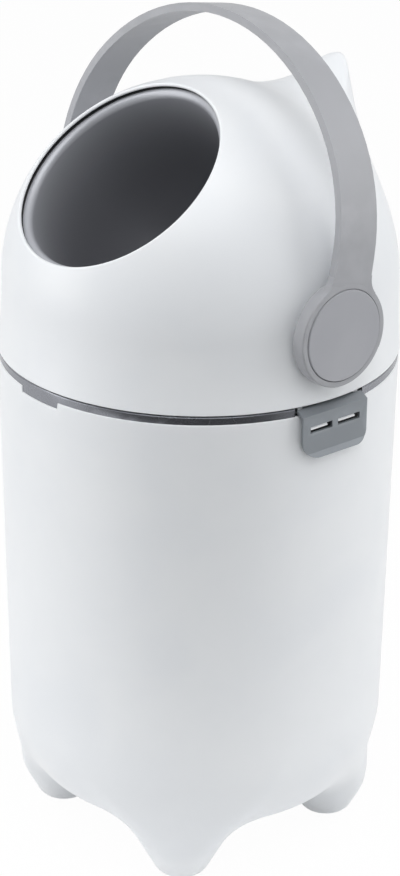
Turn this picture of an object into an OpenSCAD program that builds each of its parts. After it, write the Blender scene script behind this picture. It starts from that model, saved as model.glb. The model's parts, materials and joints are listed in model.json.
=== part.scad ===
// Free-standing nappy bin: a round body on four moulded legs, a domed head that
// hinges on the rim, and a ball-shaped drum that the carrying handle turns.
// Millimetres, +Z up. The floor is z = 0, the front is -Y and the latch is at +X.

/* [Body] */
// Outer diameter of the body at its rim
body_d = 279.2; // [250:0.2:310]
// How much the flank has tapered in where the bottom starts to round
body_taper = 4.5; // [0:0.1:10]
// Height of the seam between body and head above the floor
seam_h = 372; // [340:1:430]
// Wall of every large moulding
wall = 2.5; // [2:0.1:3.5]
// Height of the rounded bottom edge
round_h = 47; // [38:1:60]
// How far the bottom edge rounds in
round_w = 27.5; // [20:0.5:34]

/* [Legs] */
// Clear height under the body
leg_h = 44; // [38:1:54]
// Distance from a leg's axis to the flank above it
leg_inset = 37; // [34:0.5:42]
// How far a leg's upright outer side stays behind the flank
leg_step = 6.8; // [5:0.1:10]
// Slope of a leg's sides, measured from upright
leg_taper = 28; // [20:0.5:30]
// Width over which a leg blends into the floor of the body
leg_blend = 18; // [10:0.5:20]
// Width over which a leg's outer side blends into the flank
side_blend = 6; // [3:0.5:8]
// Radius of the flat end of a leg
foot_r = 9.5; // [8.5:0.1:12]
// Radius of the rounding of a foot
foot_round = 11.5; // [9:0.5:14]
// Radius of a foot pad
pad_r = 9; // [6:0.5:10]
// Thickness of a foot pad, with the part sunk in the leg
pad_t = 4; // [3:0.5:6]
// How far a pad stands out of its leg
pad_proud = 2; // [1:0.1:2.4]

/* [Bag ring] */
// Height of the ring between the rim and the head
ring_h = 5.4; // [4.5:0.1:8]
// Clear gap between the ring and the head
seam_gap = 1; // [0.6:0.1:2]
// How far the ring's outside stays behind the rim
ring_step = 0.6; // [0:0.1:1.5]
// Width of the ring's flange
ring_w = 13; // [12:0.5:15]
// Depth of the collar that holds the bag
collar_h = 14; // [8:1:30]
// Wall of the collar
collar_t = 2; // [1.6:0.1:2.6]
// Width of the lifting tab at the front
tab_w = 39; // [24:1:60]
// How far the lifting tab hangs below the ring
tab_drop = 4.5; // [3:0.5:8]

/* [Head] */
// How far the ball shape of the dome stays inside the rim
dome_step = 4.1; // [2:0.1:8]
// Height of the handle axis above the seam
hub_rise = 47.6; // [46:0.2:56]
// Radius of the round mouth
mouth_r = 76; // [60:0.5:80]
// Tilt of the mouth towards the front
mouth_tilt = 39.1; // [30:0.1:45]
// Rounding of the mouth's edge
mouth_lip = 1.2; // [0.5:0.1:2]
// Thickness of the deck under the drum
deck_t = 2.5; // [2:0.1:4]

/* [Fin] */
// How far the fin's upright back edge stays inside the widest part of the dome
fin_inset = 0.5; // [0:0.1:6]
// Height of the fin's front slope at the reference angle
fin_rise = 50; // [25:1:60]
// Width of the fin's base as an angle seen from the centre of the dome
fin_spread = 14.5; // [9:0.5:18]
// Angle at which the front slope meets the dome
fin_front_angle = 72; // [66:1:76]

/* [Drum] */
// Gap between the drum and the inside of the dome
drum_gap = 2; // [1.8:0.1:3]
// Distance from the inside of the dome to the flat ends of the drum
drum_side_gap = 11; // [9:0.5:24]
// How much smaller the bowl is inside than the mouth, in radius
bowl_margin = 6; // [4:0.5:16]
// Distance from the mouth's plane to the bottom of the bowl
bowl_depth = 122; // [90:1:140]
// Radius of the rounded rim of the bowl
bowl_lip = 6; // [4:0.5:8]

/* [Axles] */
// Radius of an axle in its bush
axle_r = 12; // [9:0.5:13]
// Running clearance of an axle in its bush
axle_fit = 0.05; // [0.02:0.01:0.1]
// Width of the square ends of an axle
tenon_w = 15; // [12:0.5:16]
// Clearance round a square end
tenon_fit = 0.1; // [0.05:0.05:0.3]
// Wall of a bush
bush_t = 3; // [2:0.5:4]
// Radius of the flange of a bush
flange_r = 19; // [16.5:0.5:22]
// Radius of a hub screw
hub_screw_r = 2.5; // [2:0.25:3]

/* [Handle] */
// Thickness of a hub of the handle
hub_t = 9.9; // [7:0.1:14]
// Thickness of the band
band_t = 5.5; // [4.5:0.1:7]
// Width of the band at its ends
band_w_low = 34; // [26:0.5:38]
// Width of the band at its crown
band_w_top = 29; // [22:0.5:34]
// Clear height for the hand between the dome and the crown
hand_gap = 45; // [34:1:70]
// How much larger the crown's arc is than half of the handle's width
crown_flat = 9.6; // [0:0.2:20]
// Half of the angle of the crown's arc
crown_half_angle = 46.5; // [38:0.5:52]
// Backward lean of the handle at rest
handle_lean = 9.4; // [0:0.1:12]
// Radius of a hub of the handle
hub_r = 35.8; // [32:0.2:38]
// Radius of the concave blend between hub and band
hub_blend = 16; // [8:1:22]
// Radius of the cap in a hub
cap_r = 31.4; // [26:0.2:32]
// Thickness of a cap
cap_t = 2.6; // [2:0.1:3.5]
// Gap line round a cap
cap_gap = 0.5; // [0.3:0.1:1]
// How far a cap stands out of its hub
cap_proud = 0.8; // [0.3:0.1:1.5]

/* [Latch] */
// Width of the latch plate
latch_w = 57; // [48:1:70]
// Distance from the seam to the latch's lower edge
latch_drop = 41; // [34:1:60]
// Thickness of the latch plate
latch_t = 2; // [1.6:0.1:2.4]
// Gap between the latch plate and the widest part of the rim
latch_stand = 1; // [0.6:0.1:3]
// Radius of the plate's lower corners
latch_corner = 10; // [5:0.5:16]
// Height of each slot in the latch
slot_h = 4.6; // [4:0.1:6]
// Width of each slot in the latch
slot_w = 19.4; // [14:0.2:21]
// Distance from the seam to the middle of the slots
slot_drop = 16; // [14:0.5:22]
// Width of the bridge between the slots
slot_bridge = 5; // [3:0.5:9]
// Clearance between a nose of the body and its slot
nose_fit = 0.9; // [0.6:0.1:1.4]
// Radius of the latch pin
latch_pin_r = 1.5; // [1.2:0.1:1.7]
// Clearance of a pin in a turning bore
pin_fit = 0.05; // [0.02:0.01:0.1]

/* [Hinge] */
// Radius of the hinge knuckles
knuckle_r = 4; // [3.4:0.1:4.4]
// Radius of the hinge pin
hinge_pin_r = 1.75; // [1.4:0.05:2]
// Width of the middle knuckle
leaf_w = 26; // [18:1:34]
// Width of each outer knuckle
bracket_knuckle_w = 12; // [9:1:16]
// Side gap between two knuckles
knuckle_gap = 0.4; // [0.3:0.1:1]
// Distance from the seam to the bracket's lower edge
bracket_drop = 38; // [30:1:60]

/* [Hidden] */

$fn = 96;
eps = 0.01;
white = [0.93, 0.94, 0.95];
grey = [0.66, 0.67, 0.69];
steel_grey = [0.52, 0.54, 0.56];
dark = [0.36, 0.37, 0.39];
rubber = [0.2, 0.2, 0.21];
metal = [0.75, 0.76, 0.78];

// Body and legs
rim_r = body_d / 2;
base_r = rim_r - body_taper;
rim_z = seam_h - seam_gap - ring_h;
leg_axis_r = base_r - leg_inset;
leg_out = base_r - leg_step;
leg_angles = [45, 135, 225, 315];
round_power = 1.5;
foot_z = pad_proud + foot_round;
cone_z = foot_z - foot_round * sin(leg_taper);
cone_r = foot_r + foot_round * cos(leg_taper);
leg_middle = leg_h * 0.8;
leg_sink = 0.6;

// Bag ring
ring_top = rim_z + ring_h;
ring_out = rim_r - ring_step;
ring_in = ring_out - ring_w;
seat_fit = 0.3;
collar_out = rim_r - wall - seat_fit;

// Head
hub_z = seam_h + hub_rise;
dome_r = rim_r - dome_step;
skirt_flare = rim_r + 0.4 - dome_r;
dome_in = dome_r - wall;
drum_r = dome_in - drum_gap;
drum_half_w = dome_in - drum_side_gap;
fin_back = dome_r - fin_inset;
seal_run = 0.35;
seal_seat = 0.1;
deck_z = seam_h + 1.5;
deck_in = sqrt(pow(drum_r, 2) - pow(hub_z - deck_z - deck_t, 2)) + seal_run + 1;
boss_r = 3.2;
boss_count = 6;
deck_out = rim_r - wall - 2.2;
boss_ring_r = deck_out - boss_r - 0.2;
deck_screw_r = 1.3;

// Bushes and axles
bush_out = axle_r + axle_fit + bush_t;
boss_in_x = drum_half_w + 1.5;
spot_x = dome_r - 0.5;
bush_flange_t = 2;
hub_in_x = max(spot_x + bush_flange_t, rim_r - 1.6) + 0.5;
drum_end_t = 3;
drum_boss_w = 14;
drum_boss_r = 16;
screw_seat_t = 3;
boss_end_x = drum_half_w - drum_end_t - drum_boss_w;
axle_in_x = boss_end_x + screw_seat_t;
hub_socket = 5;
axle_out_x = hub_in_x + hub_socket;

// Handle
handle_half_w = hub_in_x + hub_t;
hub_face_x = handle_half_w;
crown_rise = dome_r + hand_gap + band_t;
crown_r = handle_half_w + crown_flat;
shoulder_r = (handle_half_w - crown_r * sin(crown_half_angle)) / (1 - sin(crown_half_angle));
crown_centre = crown_rise - crown_r;
shoulder_centre = crown_centre + (crown_r - shoulder_r) * cos(crown_half_angle);
cap_back_x = hub_face_x + cap_proud - cap_t;

// Latch
latch_x = rim_r + latch_stand + latch_t;
latch_pin_x = rim_r - 7.1;
latch_pin_z = (rim_z + seam_h) / 2;
latch_knuckle_r = 2.4;
lug_gap = 0.5;
lug_w = 4;
latch_knuckle_w = latch_w - 13;
strip_top_x = latch_pin_x + 3.6;
strip_drop = 1.9;
bend_drop = 5.6;
lip_out = 1.2;
lip_h = 5;
notch_side = 1.5;
notch_x = latch_pin_x - latch_knuckle_r - 0.6;
slot_z = seam_h - slot_drop;
slot_y = (slot_bridge + slot_w) / 2;

// Bowl, in a frame whose axis passes through the middle of the mouth
bowl_r = mouth_r - bowl_margin;
lip_centre_r = bowl_r + bowl_lip;
lip_centre_h = sqrt(pow(drum_r - bowl_lip, 2) - pow(lip_centre_r, 2));
lip_angle = atan2(lip_centre_h, lip_centre_r);
bowl_rim_r = drum_r * cos(lip_angle) + 0.5;
bowl_bottom_h = sqrt(pow(drum_r, 2) - pow(lip_centre_r, 2)) - bowl_depth;
bowl_power = 2.2;
bowl_flange_w = 6;
rim_seat_gap = 0.3;

// Screws in the hubs
screw_head_r = 5;
screw_head_t = 1.6;
screw_head_x = cap_back_x - screw_head_t - 0.1;

// Hinge
hinge_x = -(rim_r + 1.2 + knuckle_r);
hinge_z = seam_h + 0.6;
leaf_notch_w = leaf_w + 2;
leaf_t = 2.4;
leaf_top_z = deck_z + deck_t + leaf_t;
leaf_screw_x = deck_out - 3.8;
bracket_w = leaf_w + 2 * (knuckle_gap + bracket_knuckle_w);
plate_x = -(rim_r + 3.5);

function arc(cx, cy, r, a0, a1, n) =
    [for (i = [0:n]) let (a = a0 + (a1 - a0) * i / n) [cx + r * cos(a), cy + r * sin(a)]];

// Half outline of the body, shrunk by t all round: the taper, then a quarter of a superellipse
function body_edge(t, n = 14) =
    concat([[rim_r - t, rim_z]],
           [for (i = [0:n]) let (s = 90 * i / n)
               [base_r - t - round_w * (1 - pow(cos(s), 2 / round_power)),
                leg_h + t + round_h * (1 - pow(sin(s), 2 / round_power))]]);

module body_form(t) {
    rotate_extrude() polygon(concat([[0, rim_z]], body_edge(t), [[0, leg_h + t]]));
}

// Minimum and maximum of two distances, rounded over a width k
function round_min(p, q, k) = min(p, q) - pow(max(k - abs(p - q), 0), 2) / (4 * k);
function round_max(p, q, k) = -round_min(-p, -q, k);

// Radius of a leg at height z: a flat end with a rounded edge, under a widening cone
function leg_radius(z) =
    z > cone_z ? cone_r + (z - cone_z) * tan(leg_taper)
               : foot_r + sqrt(max(pow(foot_round, 2) - pow(z - foot_z, 2), 0));

// Distance of a point outside a leg, at distance rho from the leg's axis and r from the bin's
function beside_leg(rho, r, z) =
    max(round_max((rho - leg_radius(z)) * cos(leg_taper), r - leg_out, side_blend), pad_proud - z);

// Distance of a point below the rounded bottom edge of the body
function below_body(r, z) =
    let (u = max(r - base_r + round_w, 0) / round_w,
         v = max(leg_h + round_h - z, 0) / round_h,
         level = pow(pow(u, round_power) + pow(v, round_power), 1 / round_power),
         slope = norm([pow(u, round_power - 1) / round_w, pow(v, round_power - 1) / round_h]))
    level < 0.2 ? -round_w : (level - 1) * pow(level, round_power - 1) / slope;

// Distance of a point outside the smooth joint of leg and body, at turn a round the leg's axis:
// the blend is wide under the floor and narrow at the flank, and ends just inside the body
function outside_joint(p, a) =
    let (r = norm([leg_axis_r + p[0], p[1]]))
    round_min(beside_leg(norm([p[0], p[1]]), r, p[2]), below_body(r, p[2]) + leg_sink,
              side_blend + (leg_blend - side_blend) * min(1 - cos(a), 1));

// Point of the smooth joint on the ray from the leg's middle, found by halving
function joint_point(ray, a, near = 0, far = 95, n = 20) =
    let (m = (near + far) / 2)
    n == 0 ? [0, 0, leg_middle] + m * ray :
    outside_joint([0, 0, leg_middle] + m * ray, a) < 0 ? joint_point(ray, a, m, far, n - 1)
                                                       : joint_point(ray, a, near, m, n - 1);

// One leg with its blend, as a skin of rays that ends inside the body
module leg() {
    rows = 15;
    cols = 36;
    rise_in = 9;
    rise_out = 58;
    turn = function (j) 360 * j / cols;
    rise = function (i, a)
        -90 + (90 + rise_in + (rise_out - rise_in) * pow((1 + cos(a)) / 2, 1.5)) * i / rows;
    ray = function (e, a) [cos(e) * cos(a), cos(e) * sin(a), sin(e)];
    skin = [for (i = [1:rows], j = [0:cols - 1]) let (a = turn(j)) joint_point(ray(rise(i, a), a), a)];
    top = len(skin) + 1;
    id = function (i, j) 1 + (i - 1) * cols + j % cols;
    faces = concat(
        [for (j = [0:cols - 1]) [0, id(1, j), id(1, j + 1)]],
        [for (i = [1:rows - 1], j = [0:cols - 1]) [id(i, j), id(i + 1, j), id(i + 1, j + 1)]],
        [for (i = [1:rows - 1], j = [0:cols - 1]) [id(i, j), id(i + 1, j + 1), id(i, j + 1)]],
        [for (j = [0:cols - 1]) [top, id(rows, j + 1), id(rows, j)]]);
    polyhedron(concat([[0, 0, pad_proud]], skin, [[0, 0, leg_h + round_h * 0.6]]), faces);
}

// Hollow of one leg: foot and cone shrunk by the wall, open into the body and behind the outer side
module leg_hollow() {
    low_z = pad_t + wall;
    top_z = leg_h + round_h * 0.5;
    inner_round = foot_round - wall;
    low_angle = asin((low_z - foot_z) / inner_round);
    end_r = leg_radius(top_z) - wall / cos(leg_taper);
    intersection() {
        translate([leg_axis_r, 0, 0]) rotate_extrude()
            polygon(concat([[0, top_z], [0, low_z]],
                           arc(foot_r, foot_z, inner_round, low_angle, -leg_taper, 6), [[end_r, top_z]]));
        cylinder(r = leg_out - wall, h = seam_h);
    }
}

module ring_of(r_in, r_out, h) {
    difference() {
        cylinder(r = r_out, h = h);
        translate([0, 0, -1]) cylinder(r = r_in, h = h + 2);
    }
}

module bin_body() {
    color(white) {
        difference() {
            union() {
                body_form(0);
                for (a = leg_angles)
                    rotate([0, 0, a]) translate([leg_axis_r, 0, 0]) leg();
            }
            translate([0, 0, eps]) body_form(wall);
            for (a = leg_angles)
                rotate([0, 0, a]) leg_hollow();
            // notch for the ring's lifting tab
            translate([-tab_w / 2 - seat_fit, -rim_r - 1, rim_z - tab_drop])
                cube([tab_w + 2 * seat_fit, wall + 6, tab_drop + 1]);
            for (a = leg_angles)
                rotate([0, 0, a]) translate([leg_axis_r, 0, -1]) cylinder(r = pad_r, h = pad_t + 1);
        }
        // cups that the foot pads are pressed into
        for (a = leg_angles)
            rotate([0, 0, a]) translate([leg_axis_r, 0, pad_t]) cylinder(r = pad_r + 1.5, h = wall);
        latch_noses();
    }
}

// Two wedge noses on the rim that the slots of the latch catch on
module latch_noses() {
    nose_w = slot_w - 2 * nose_fit;
    nose_h = slot_h - 2 * nose_fit;
    root_x = rim_r - 3 * wall;
    difference() {
        for (side = [-1, 1])
            translate([0, side * slot_y + nose_w / 2, slot_z])
                rotate([90, 0, 0]) linear_extrude(nose_w)
                    polygon([[root_x, -nose_h / 2], [latch_x - 0.7, -nose_h / 2],
                             [latch_x - 0.7, -nose_h / 4], [latch_x - latch_t, nose_h / 2],
                             [root_x, nose_h / 2]]);
        // they start inside the wall
        cylinder(r = rim_r - wall * 0.7, h = rim_z);
    }
}

module bag_ring() {
    edge = 0.6;
    color(grey) {
        difference() {
            union() {
                rotate_extrude()
                    polygon([[ring_in, rim_z], [ring_out, rim_z], [ring_out, ring_top - edge],
                             [ring_out - edge, ring_top], [ring_in + edge, ring_top],
                             [ring_in, ring_top - edge]]);
                translate([0, 0, rim_z - collar_h])
                    ring_of(collar_out - collar_t, collar_out, collar_h + 1);
                intersection() {
                    translate([0, 0, rim_z - tab_drop + seat_fit])
                        ring_of(collar_out - collar_t, ring_out, tab_drop);
                    translate([-tab_w / 2, -rim_r - 5, rim_z - tab_drop]) cube([tab_w, rim_r, tab_drop + 1]);
                }
            }
            // room for the latch's knuckle and lugs
            translate([notch_x, -latch_w / 2 - notch_side, rim_z])
                cube([rim_r, latch_w + 2 * notch_side, ring_h + 1]);
        }
    }
}

module foot_pad(angle) {
    edge = 0.8;
    color(grey)
        rotate([0, 0, angle]) translate([leg_axis_r, 0, 0])
            rotate_extrude()
                polygon([[0, 0], [pad_r - edge, 0], [pad_r, edge], [pad_r, pad_t], [0, pad_t]]);
}

module hinge_barrel(r, w) {
    translate([hinge_x, w / 2, hinge_z]) rotate([90, 0, 0]) cylinder(r = r, h = w);
}

module bracket_screw_holes(r) {
    for (side = [-1, 1], row = [0, 1])
        translate([hinge_x, side * (bracket_w / 2 - 6), rim_z - bracket_drop + 12 + row * 12])
            rotate([0, 90, 0]) cylinder(r = r, h = knuckle_r * 2 + 10, $fn = 32);
}

module hinge_bracket() {
    color(steel_grey)
        difference() {
            union() {
                translate([plate_x, -bracket_w / 2, seam_h - bracket_drop])
                    cube([rim_r, bracket_w, bracket_drop - seam_gap - 0.4]);
                for (side = [-1, 1])
                    translate([0, side * (bracket_w - bracket_knuckle_w) / 2, 0])
                        hinge_barrel(knuckle_r, bracket_knuckle_w);
            }
            // room for the middle knuckle
            translate([hinge_x - knuckle_r - 1, -leaf_w / 2 - knuckle_gap, hinge_z - knuckle_r - 1])
                cube([2 * knuckle_r + 6, leaf_w + 2 * knuckle_gap, knuckle_r * 2]);
            translate([0, 0, -1]) cylinder(r = rim_r + 0.05, h = seam_h + 1, $fn = 360);
            hinge_barrel(hinge_pin_r + pin_fit, bracket_w + 2);
            bracket_screw_holes(1.6);
        }
}

module bracket_screws() {
    color(metal)
        for (side = [-1, 1], row = [0, 1])
            translate([plate_x - 1.2, side * (bracket_w / 2 - 6), rim_z - bracket_drop + 12 + row * 12])
                rotate([0, 90, 0]) {
                    cylinder(r = 2.8, h = 1.2, $fn = 32);
                    cylinder(r = 1.5, h = 4.5, $fn = 32);
                }
}

module hinge_pin() {
    color(metal) hinge_barrel(hinge_pin_r, bracket_w + 1);
}

// Outline of the dome in height above the seam, shrunk by t: a flared skirt under a ball
function skirt_edge(t, n = 12) =
    [for (i = [0:n]) let (h = hub_rise * i / n)
        [dome_r - t + skirt_flare * pow(1 - h / hub_rise, 2), seam_h + h]];

module dome_form(t) {
    rotate_extrude() polygon(concat([[0, seam_h - (t > 0 ? eps : 0)]], skirt_edge(t), [[0, hub_z]]));
    intersection() {
        translate([0, 0, hub_z]) sphere(r = dome_r - t);
        translate([-dome_r, -dome_r, hub_z - eps]) cube([2 * dome_r, 2 * dome_r, dome_r + 1]);
    }
}

// Turns +Z onto the mouth's axis, with the centre of the dome as origin
module mouth_frame() {
    translate([0, 0, hub_z]) rotate([mouth_tilt, 0, 0]) children();
}

// Height of the fin over the ball, at elevation e in the middle plane and angle a beside it.
// The back edge is a plane at fin_back; the front slope falls away as a power of the angle.
function softer_min(p, q, k) = -k * ln(exp(-p / k) + exp(-q / k));
function fin_front(e) = fin_rise * pow(max(fin_front_angle - e, 0) / (fin_front_angle - 47), 2.5);
function fin_height(e, a) =
    max(softer_min(fin_front(e), fin_back / cos(e) - dome_r, 6), 0)
    * exp(-pow(sqrt(a * a + 4) / fin_spread, 1.6));
function fin_point(e, a, r) = [r * sin(a), r * cos(a) * cos(e), hub_z + r * cos(a) * sin(e)];

// The fin: a grid over elevation and side angle, closed by a floor inside the dome's wall
module fin() {
    fin_sink = 0.6;
    rows = 18;
    cols = 16;
    e0 = 4;
    a0 = 2.6 * fin_spread;
    e_of = function (i) e0 + (fin_front_angle - e0) * i / rows;
    a_of = function (j) a0 * sin(90 * (2 * j / cols - 1));
    top = [for (i = [0:rows], j = [0:cols])
        fin_point(e_of(i), a_of(j), dome_r - fin_sink + fin_height(e_of(i), a_of(j)))];
    floor_pts = [for (i = [0:rows], j = [0:cols]) fin_point(e_of(i), a_of(j), dome_r - wall * 0.7)];
    n = (rows + 1) * (cols + 1);
    id = function (i, j) i * (cols + 1) + j;
    faces = concat(
        [for (i = [0:rows - 1], j = [0:cols - 1]) [id(i, j), id(i + 1, j + 1), id(i + 1, j)]],
        [for (i = [0:rows - 1], j = [0:cols - 1]) [id(i, j), id(i, j + 1), id(i + 1, j + 1)]],
        [for (i = [0:rows - 1], j = [0:cols - 1]) [n + id(i, j), n + id(i + 1, j), n + id(i + 1, j + 1)]],
        [for (i = [0:rows - 1], j = [0:cols - 1]) [n + id(i, j), n + id(i + 1, j + 1), n + id(i, j + 1)]],
        [for (i = [0:rows - 1]) [id(i, 0), id(i + 1, 0), n + id(i + 1, 0), n + id(i, 0)]],
        [for (i = [0:rows - 1]) [id(i, cols), n + id(i, cols), n + id(i + 1, cols), id(i + 1, cols)]],
        [for (j = [0:cols - 1]) [id(0, j), n + id(0, j), n + id(0, j + 1), id(0, j + 1)]],
        [for (j = [0:cols - 1]) [id(rows, j), id(rows, j + 1), n + id(rows, j + 1), n + id(rows, j)]]);
    polyhedron(concat(top, floor_pts), faces);
}

module head_shell() {
    color(white)
        difference() {
            union() {
                difference() {
                    dome_form(0);
                    dome_form(wall);
                }
                fin();
                // bosses that hold the bushes
                for (side = [-1, 1])
                    translate([side * boss_in_x, 0, hub_z]) rotate([0, side * 90, 0])
                        cylinder(r = flange_r + 1.5, h = spot_x - boss_in_x);
                // bosses that the deck is screwed to, each with a rib to the wall
                for (i = [0:boss_count - 1])
                    rotate([0, 0, 360 * (i + 0.5) / boss_count]) translate([boss_ring_r, 0, deck_z + deck_t]) {
                        cylinder(r = boss_r, h = 10);
                        translate([0, -1.5, 0]) cube([dome_r + 1.2 - boss_ring_r, 3, 10]);
                    }
            }
            mouth_frame() {
                cylinder(r = mouth_r, h = dome_r + 60);
                // rounded edge of the mouth
                translate([0, 0, sqrt(dome_r * dome_r - mouth_r * mouth_r) - mouth_lip])
                    cylinder(r1 = mouth_r, r2 = mouth_r + 2 * mouth_lip, h = 2 * mouth_lip);
            }
            for (side = [-1, 1])
                translate([0, 0, hub_z]) rotate([0, side * 90, 0]) {
                    translate([0, 0, boss_in_x - 1]) cylinder(r = bush_out, h = dome_r);
                    // flat spot face for the bush's flange
                    translate([0, 0, spot_x]) cylinder(r = flange_r + 0.4, h = dome_r);
                }
            for (i = [0:boss_count - 1])
                rotate([0, 0, 360 * (i + 0.5) / boss_count]) translate([boss_ring_r, 0, deck_z])
                    cylinder(r = deck_screw_r + 0.1, h = deck_t + 8.5, $fn = 32);
            // the hinge leaf passes under the skirt here
            translate([-rim_r - 5, -leaf_notch_w / 2, seam_h - 1])
                cube([rim_r / 4, leaf_notch_w, leaf_top_z - seam_h + 1.4]);
        }
}

// Rubber ring behind the mouth's edge that wipes the drum
module mouth_seal() {
    steps = 6;
    run_of = function (i) mouth_r + 0.8 + 5.2 * i / steps;
    on_ball = function (r, ball) [r, sqrt(ball * ball - r * r)];
    color(rubber)
        mouth_frame() rotate_extrude()
            polygon(concat([for (i = [0:steps]) on_ball(run_of(i), dome_in - seal_seat)],
                           [for (i = [steps:-1:0]) on_ball(run_of(i), drum_r + seal_run)]));
}

module head_deck() {
    lug_x = latch_pin_x - latch_knuckle_r - 0.1;
    lug_y = latch_knuckle_w / 2 + lug_gap;
    color(dark)
        difference() {
            union() {
                translate([0, 0, deck_z]) ring_of(deck_in, deck_out, deck_t);
                for (side = [-1, 1]) {
                    // lug: a round end on the pin, and a web that stays inside the skirt
                    translate([latch_pin_x, side * (lug_y + lug_w / 2) + lug_w / 2, latch_pin_z])
                        rotate([90, 0, 0]) cylinder(r = latch_knuckle_r + 0.1, h = lug_w);
                    intersection() {
                        translate([lug_x, side * (lug_y + lug_w / 2) - lug_w / 2, latch_pin_z])
                            cube([8, lug_w, deck_z - latch_pin_z + eps]);
                        cylinder(r = deck_out, h = seam_h * 2);
                    }
                }
            }
            latch_barrel(latch_pin_r + pin_fit, latch_w);
            for (i = [0:boss_count - 1])
                rotate([0, 0, 360 * (i + 0.5) / boss_count]) translate([boss_ring_r, 0, deck_z - 1])
                    cylinder(r = deck_screw_r + 0.1, h = deck_t + 2, $fn = 32);
            leaf_screw_holes();
        }
}

module deck_screws() {
    color(metal)
        for (i = [0:boss_count - 1])
            rotate([0, 0, 360 * (i + 0.5) / boss_count]) translate([boss_ring_r, 0, deck_z]) {
                translate([0, 0, -1.1]) cylinder(r = 2.6, h = 1.1, $fn = 32);
                cylinder(r = deck_screw_r, h = deck_t + 8, $fn = 32);
            }
}

// Wiper between the deck and the drum; its bore follows the ball
module drum_seal() {
    z0 = deck_z + deck_t;
    z1 = z0 + 3;
    ball_at = function (z) sqrt(pow(drum_r, 2) - pow(hub_z - z, 2)) + seal_run;
    color(rubber)
        rotate_extrude()
            polygon([[ball_at(z0), z0], [deck_in + 2.4, z0], [deck_in + 2.4, z1], [ball_at(z1), z1]]);
}

module bush(side) {
    color(dark)
        translate([0, 0, hub_z]) rotate([0, side * 90, 0])
            difference() {
                union() {
                    translate([0, 0, boss_in_x]) cylinder(r = bush_out, h = spot_x - boss_in_x);
                    translate([0, 0, spot_x]) cylinder(r = flange_r, h = bush_flange_t);
                }
                translate([0, 0, boss_in_x - 1]) cylinder(r = axle_r + axle_fit, h = 30);
            }
}

module leaf_screw_holes() {
    for (side = [-1, 1])
        translate([-leaf_screw_x, side * leaf_w / 4, deck_z - 1])
            cylinder(r = deck_screw_r + 0.1, h = 12, $fn = 32);
}

// Middle knuckle with a leaf that rises over the deck's edge and lies on the deck
module hinge_leaf() {
    color(steel_grey)
        difference() {
            union() {
                hinge_barrel(knuckle_r, leaf_w);
                translate([0, leaf_w / 2, 0]) rotate([90, 0, 0]) linear_extrude(leaf_w)
                    polygon([[hinge_x, hinge_z], [hinge_x, hinge_z + knuckle_r],
                             [hinge_x + 2, hinge_z + knuckle_r], [-deck_out - 3, leaf_top_z],
                             [-leaf_screw_x + 3.2, leaf_top_z], [-leaf_screw_x + 3.2, deck_z + deck_t],
                             [-deck_out - 0.2, deck_z + deck_t], [-deck_out - 0.2, hinge_z + 1.6],
                             [hinge_x + 3, hinge_z]]);
            }
            hinge_barrel(hinge_pin_r + pin_fit, leaf_w + 2);
            leaf_screw_holes();
        }
}

module leaf_screws() {
    color(metal)
        for (side = [-1, 1])
            translate([-leaf_screw_x, side * leaf_w / 4, leaf_top_z]) {
                cylinder(r = 2.4, h = 1.2, $fn = 32);
                translate([0, 0, deck_z - leaf_top_z + 0.2])
                    cylinder(r = deck_screw_r, h = leaf_top_z - deck_z, $fn = 32);
            }
}

module latch_barrel(r, w) {
    translate([latch_pin_x, w / 2, latch_pin_z]) rotate([90, 0, 0]) cylinder(r = r, h = w);
}

module latch_pin() {
    color(metal) latch_barrel(latch_pin_r, latch_knuckle_w + 2 * (lug_gap + lug_w));
}

// The ball cut flat at both ends, shrunk by t
module drum_form(t, end_t) {
    half = drum_half_w - end_t;
    intersection() {
        translate([0, 0, hub_z]) sphere(r = drum_r - t);
        translate([-half, -drum_r, hub_z - drum_r]) cube([2 * half, 2 * drum_r, 2 * drum_r]);
    }
}

module square_tenon(side, x0, x1, clear) {
    w = tenon_w + 2 * clear;
    translate([side > 0 ? x0 : -x1, -w / 2, hub_z - w / 2]) cube([x1 - x0, w, w]);
}

module drum_body() {
    difference() {
        union() {
            difference() {
                drum_form(0, 0);
                drum_form(wall, drum_end_t);
            }
            for (side = [-1, 1])
                translate([side * boss_end_x, 0, hub_z]) rotate([0, side * 90, 0])
                    cylinder(r = drum_boss_r, h = drum_boss_w + 1);
        }
        for (side = [-1, 1]) {
            square_tenon(side, axle_in_x - 0.3, drum_half_w + 1, tenon_fit);
            translate([side * (boss_end_x - 1), 0, hub_z]) rotate([0, side * 90, 0])
                cylinder(r = hub_screw_r + 0.1, h = 10);
        }
    }
}

// Half space on the mouth's side of the drum's seam, or behind it
module seam_side(side) {
    mouth_frame()
        translate([-dome_r, -dome_r, side > 0 ? 0 : -2 * dome_r]) cube(2 * dome_r);
}

module drum_front() {
    color(dark)
        difference() {
            intersection() {
                drum_body();
                seam_side(1);
            }
            mouth_frame() cylinder(r = bowl_rim_r + rim_seat_gap, h = dome_r + 10);
        }
}

module drum_rear() {
    color(dark)
        intersection() {
            drum_body();
            seam_side(-1);
        }
}

// Half outline of the bowl's wall at radius r0: a quarter of a superellipse
function bowl_wall(r0, bottom, top, n = 16) =
    [for (i = [0:n]) let (s = 90 * i / n)
        [r0 * pow(sin(s), 2 / bowl_power), top - (top - bottom) * pow(cos(s), 2 / bowl_power)]];

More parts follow.
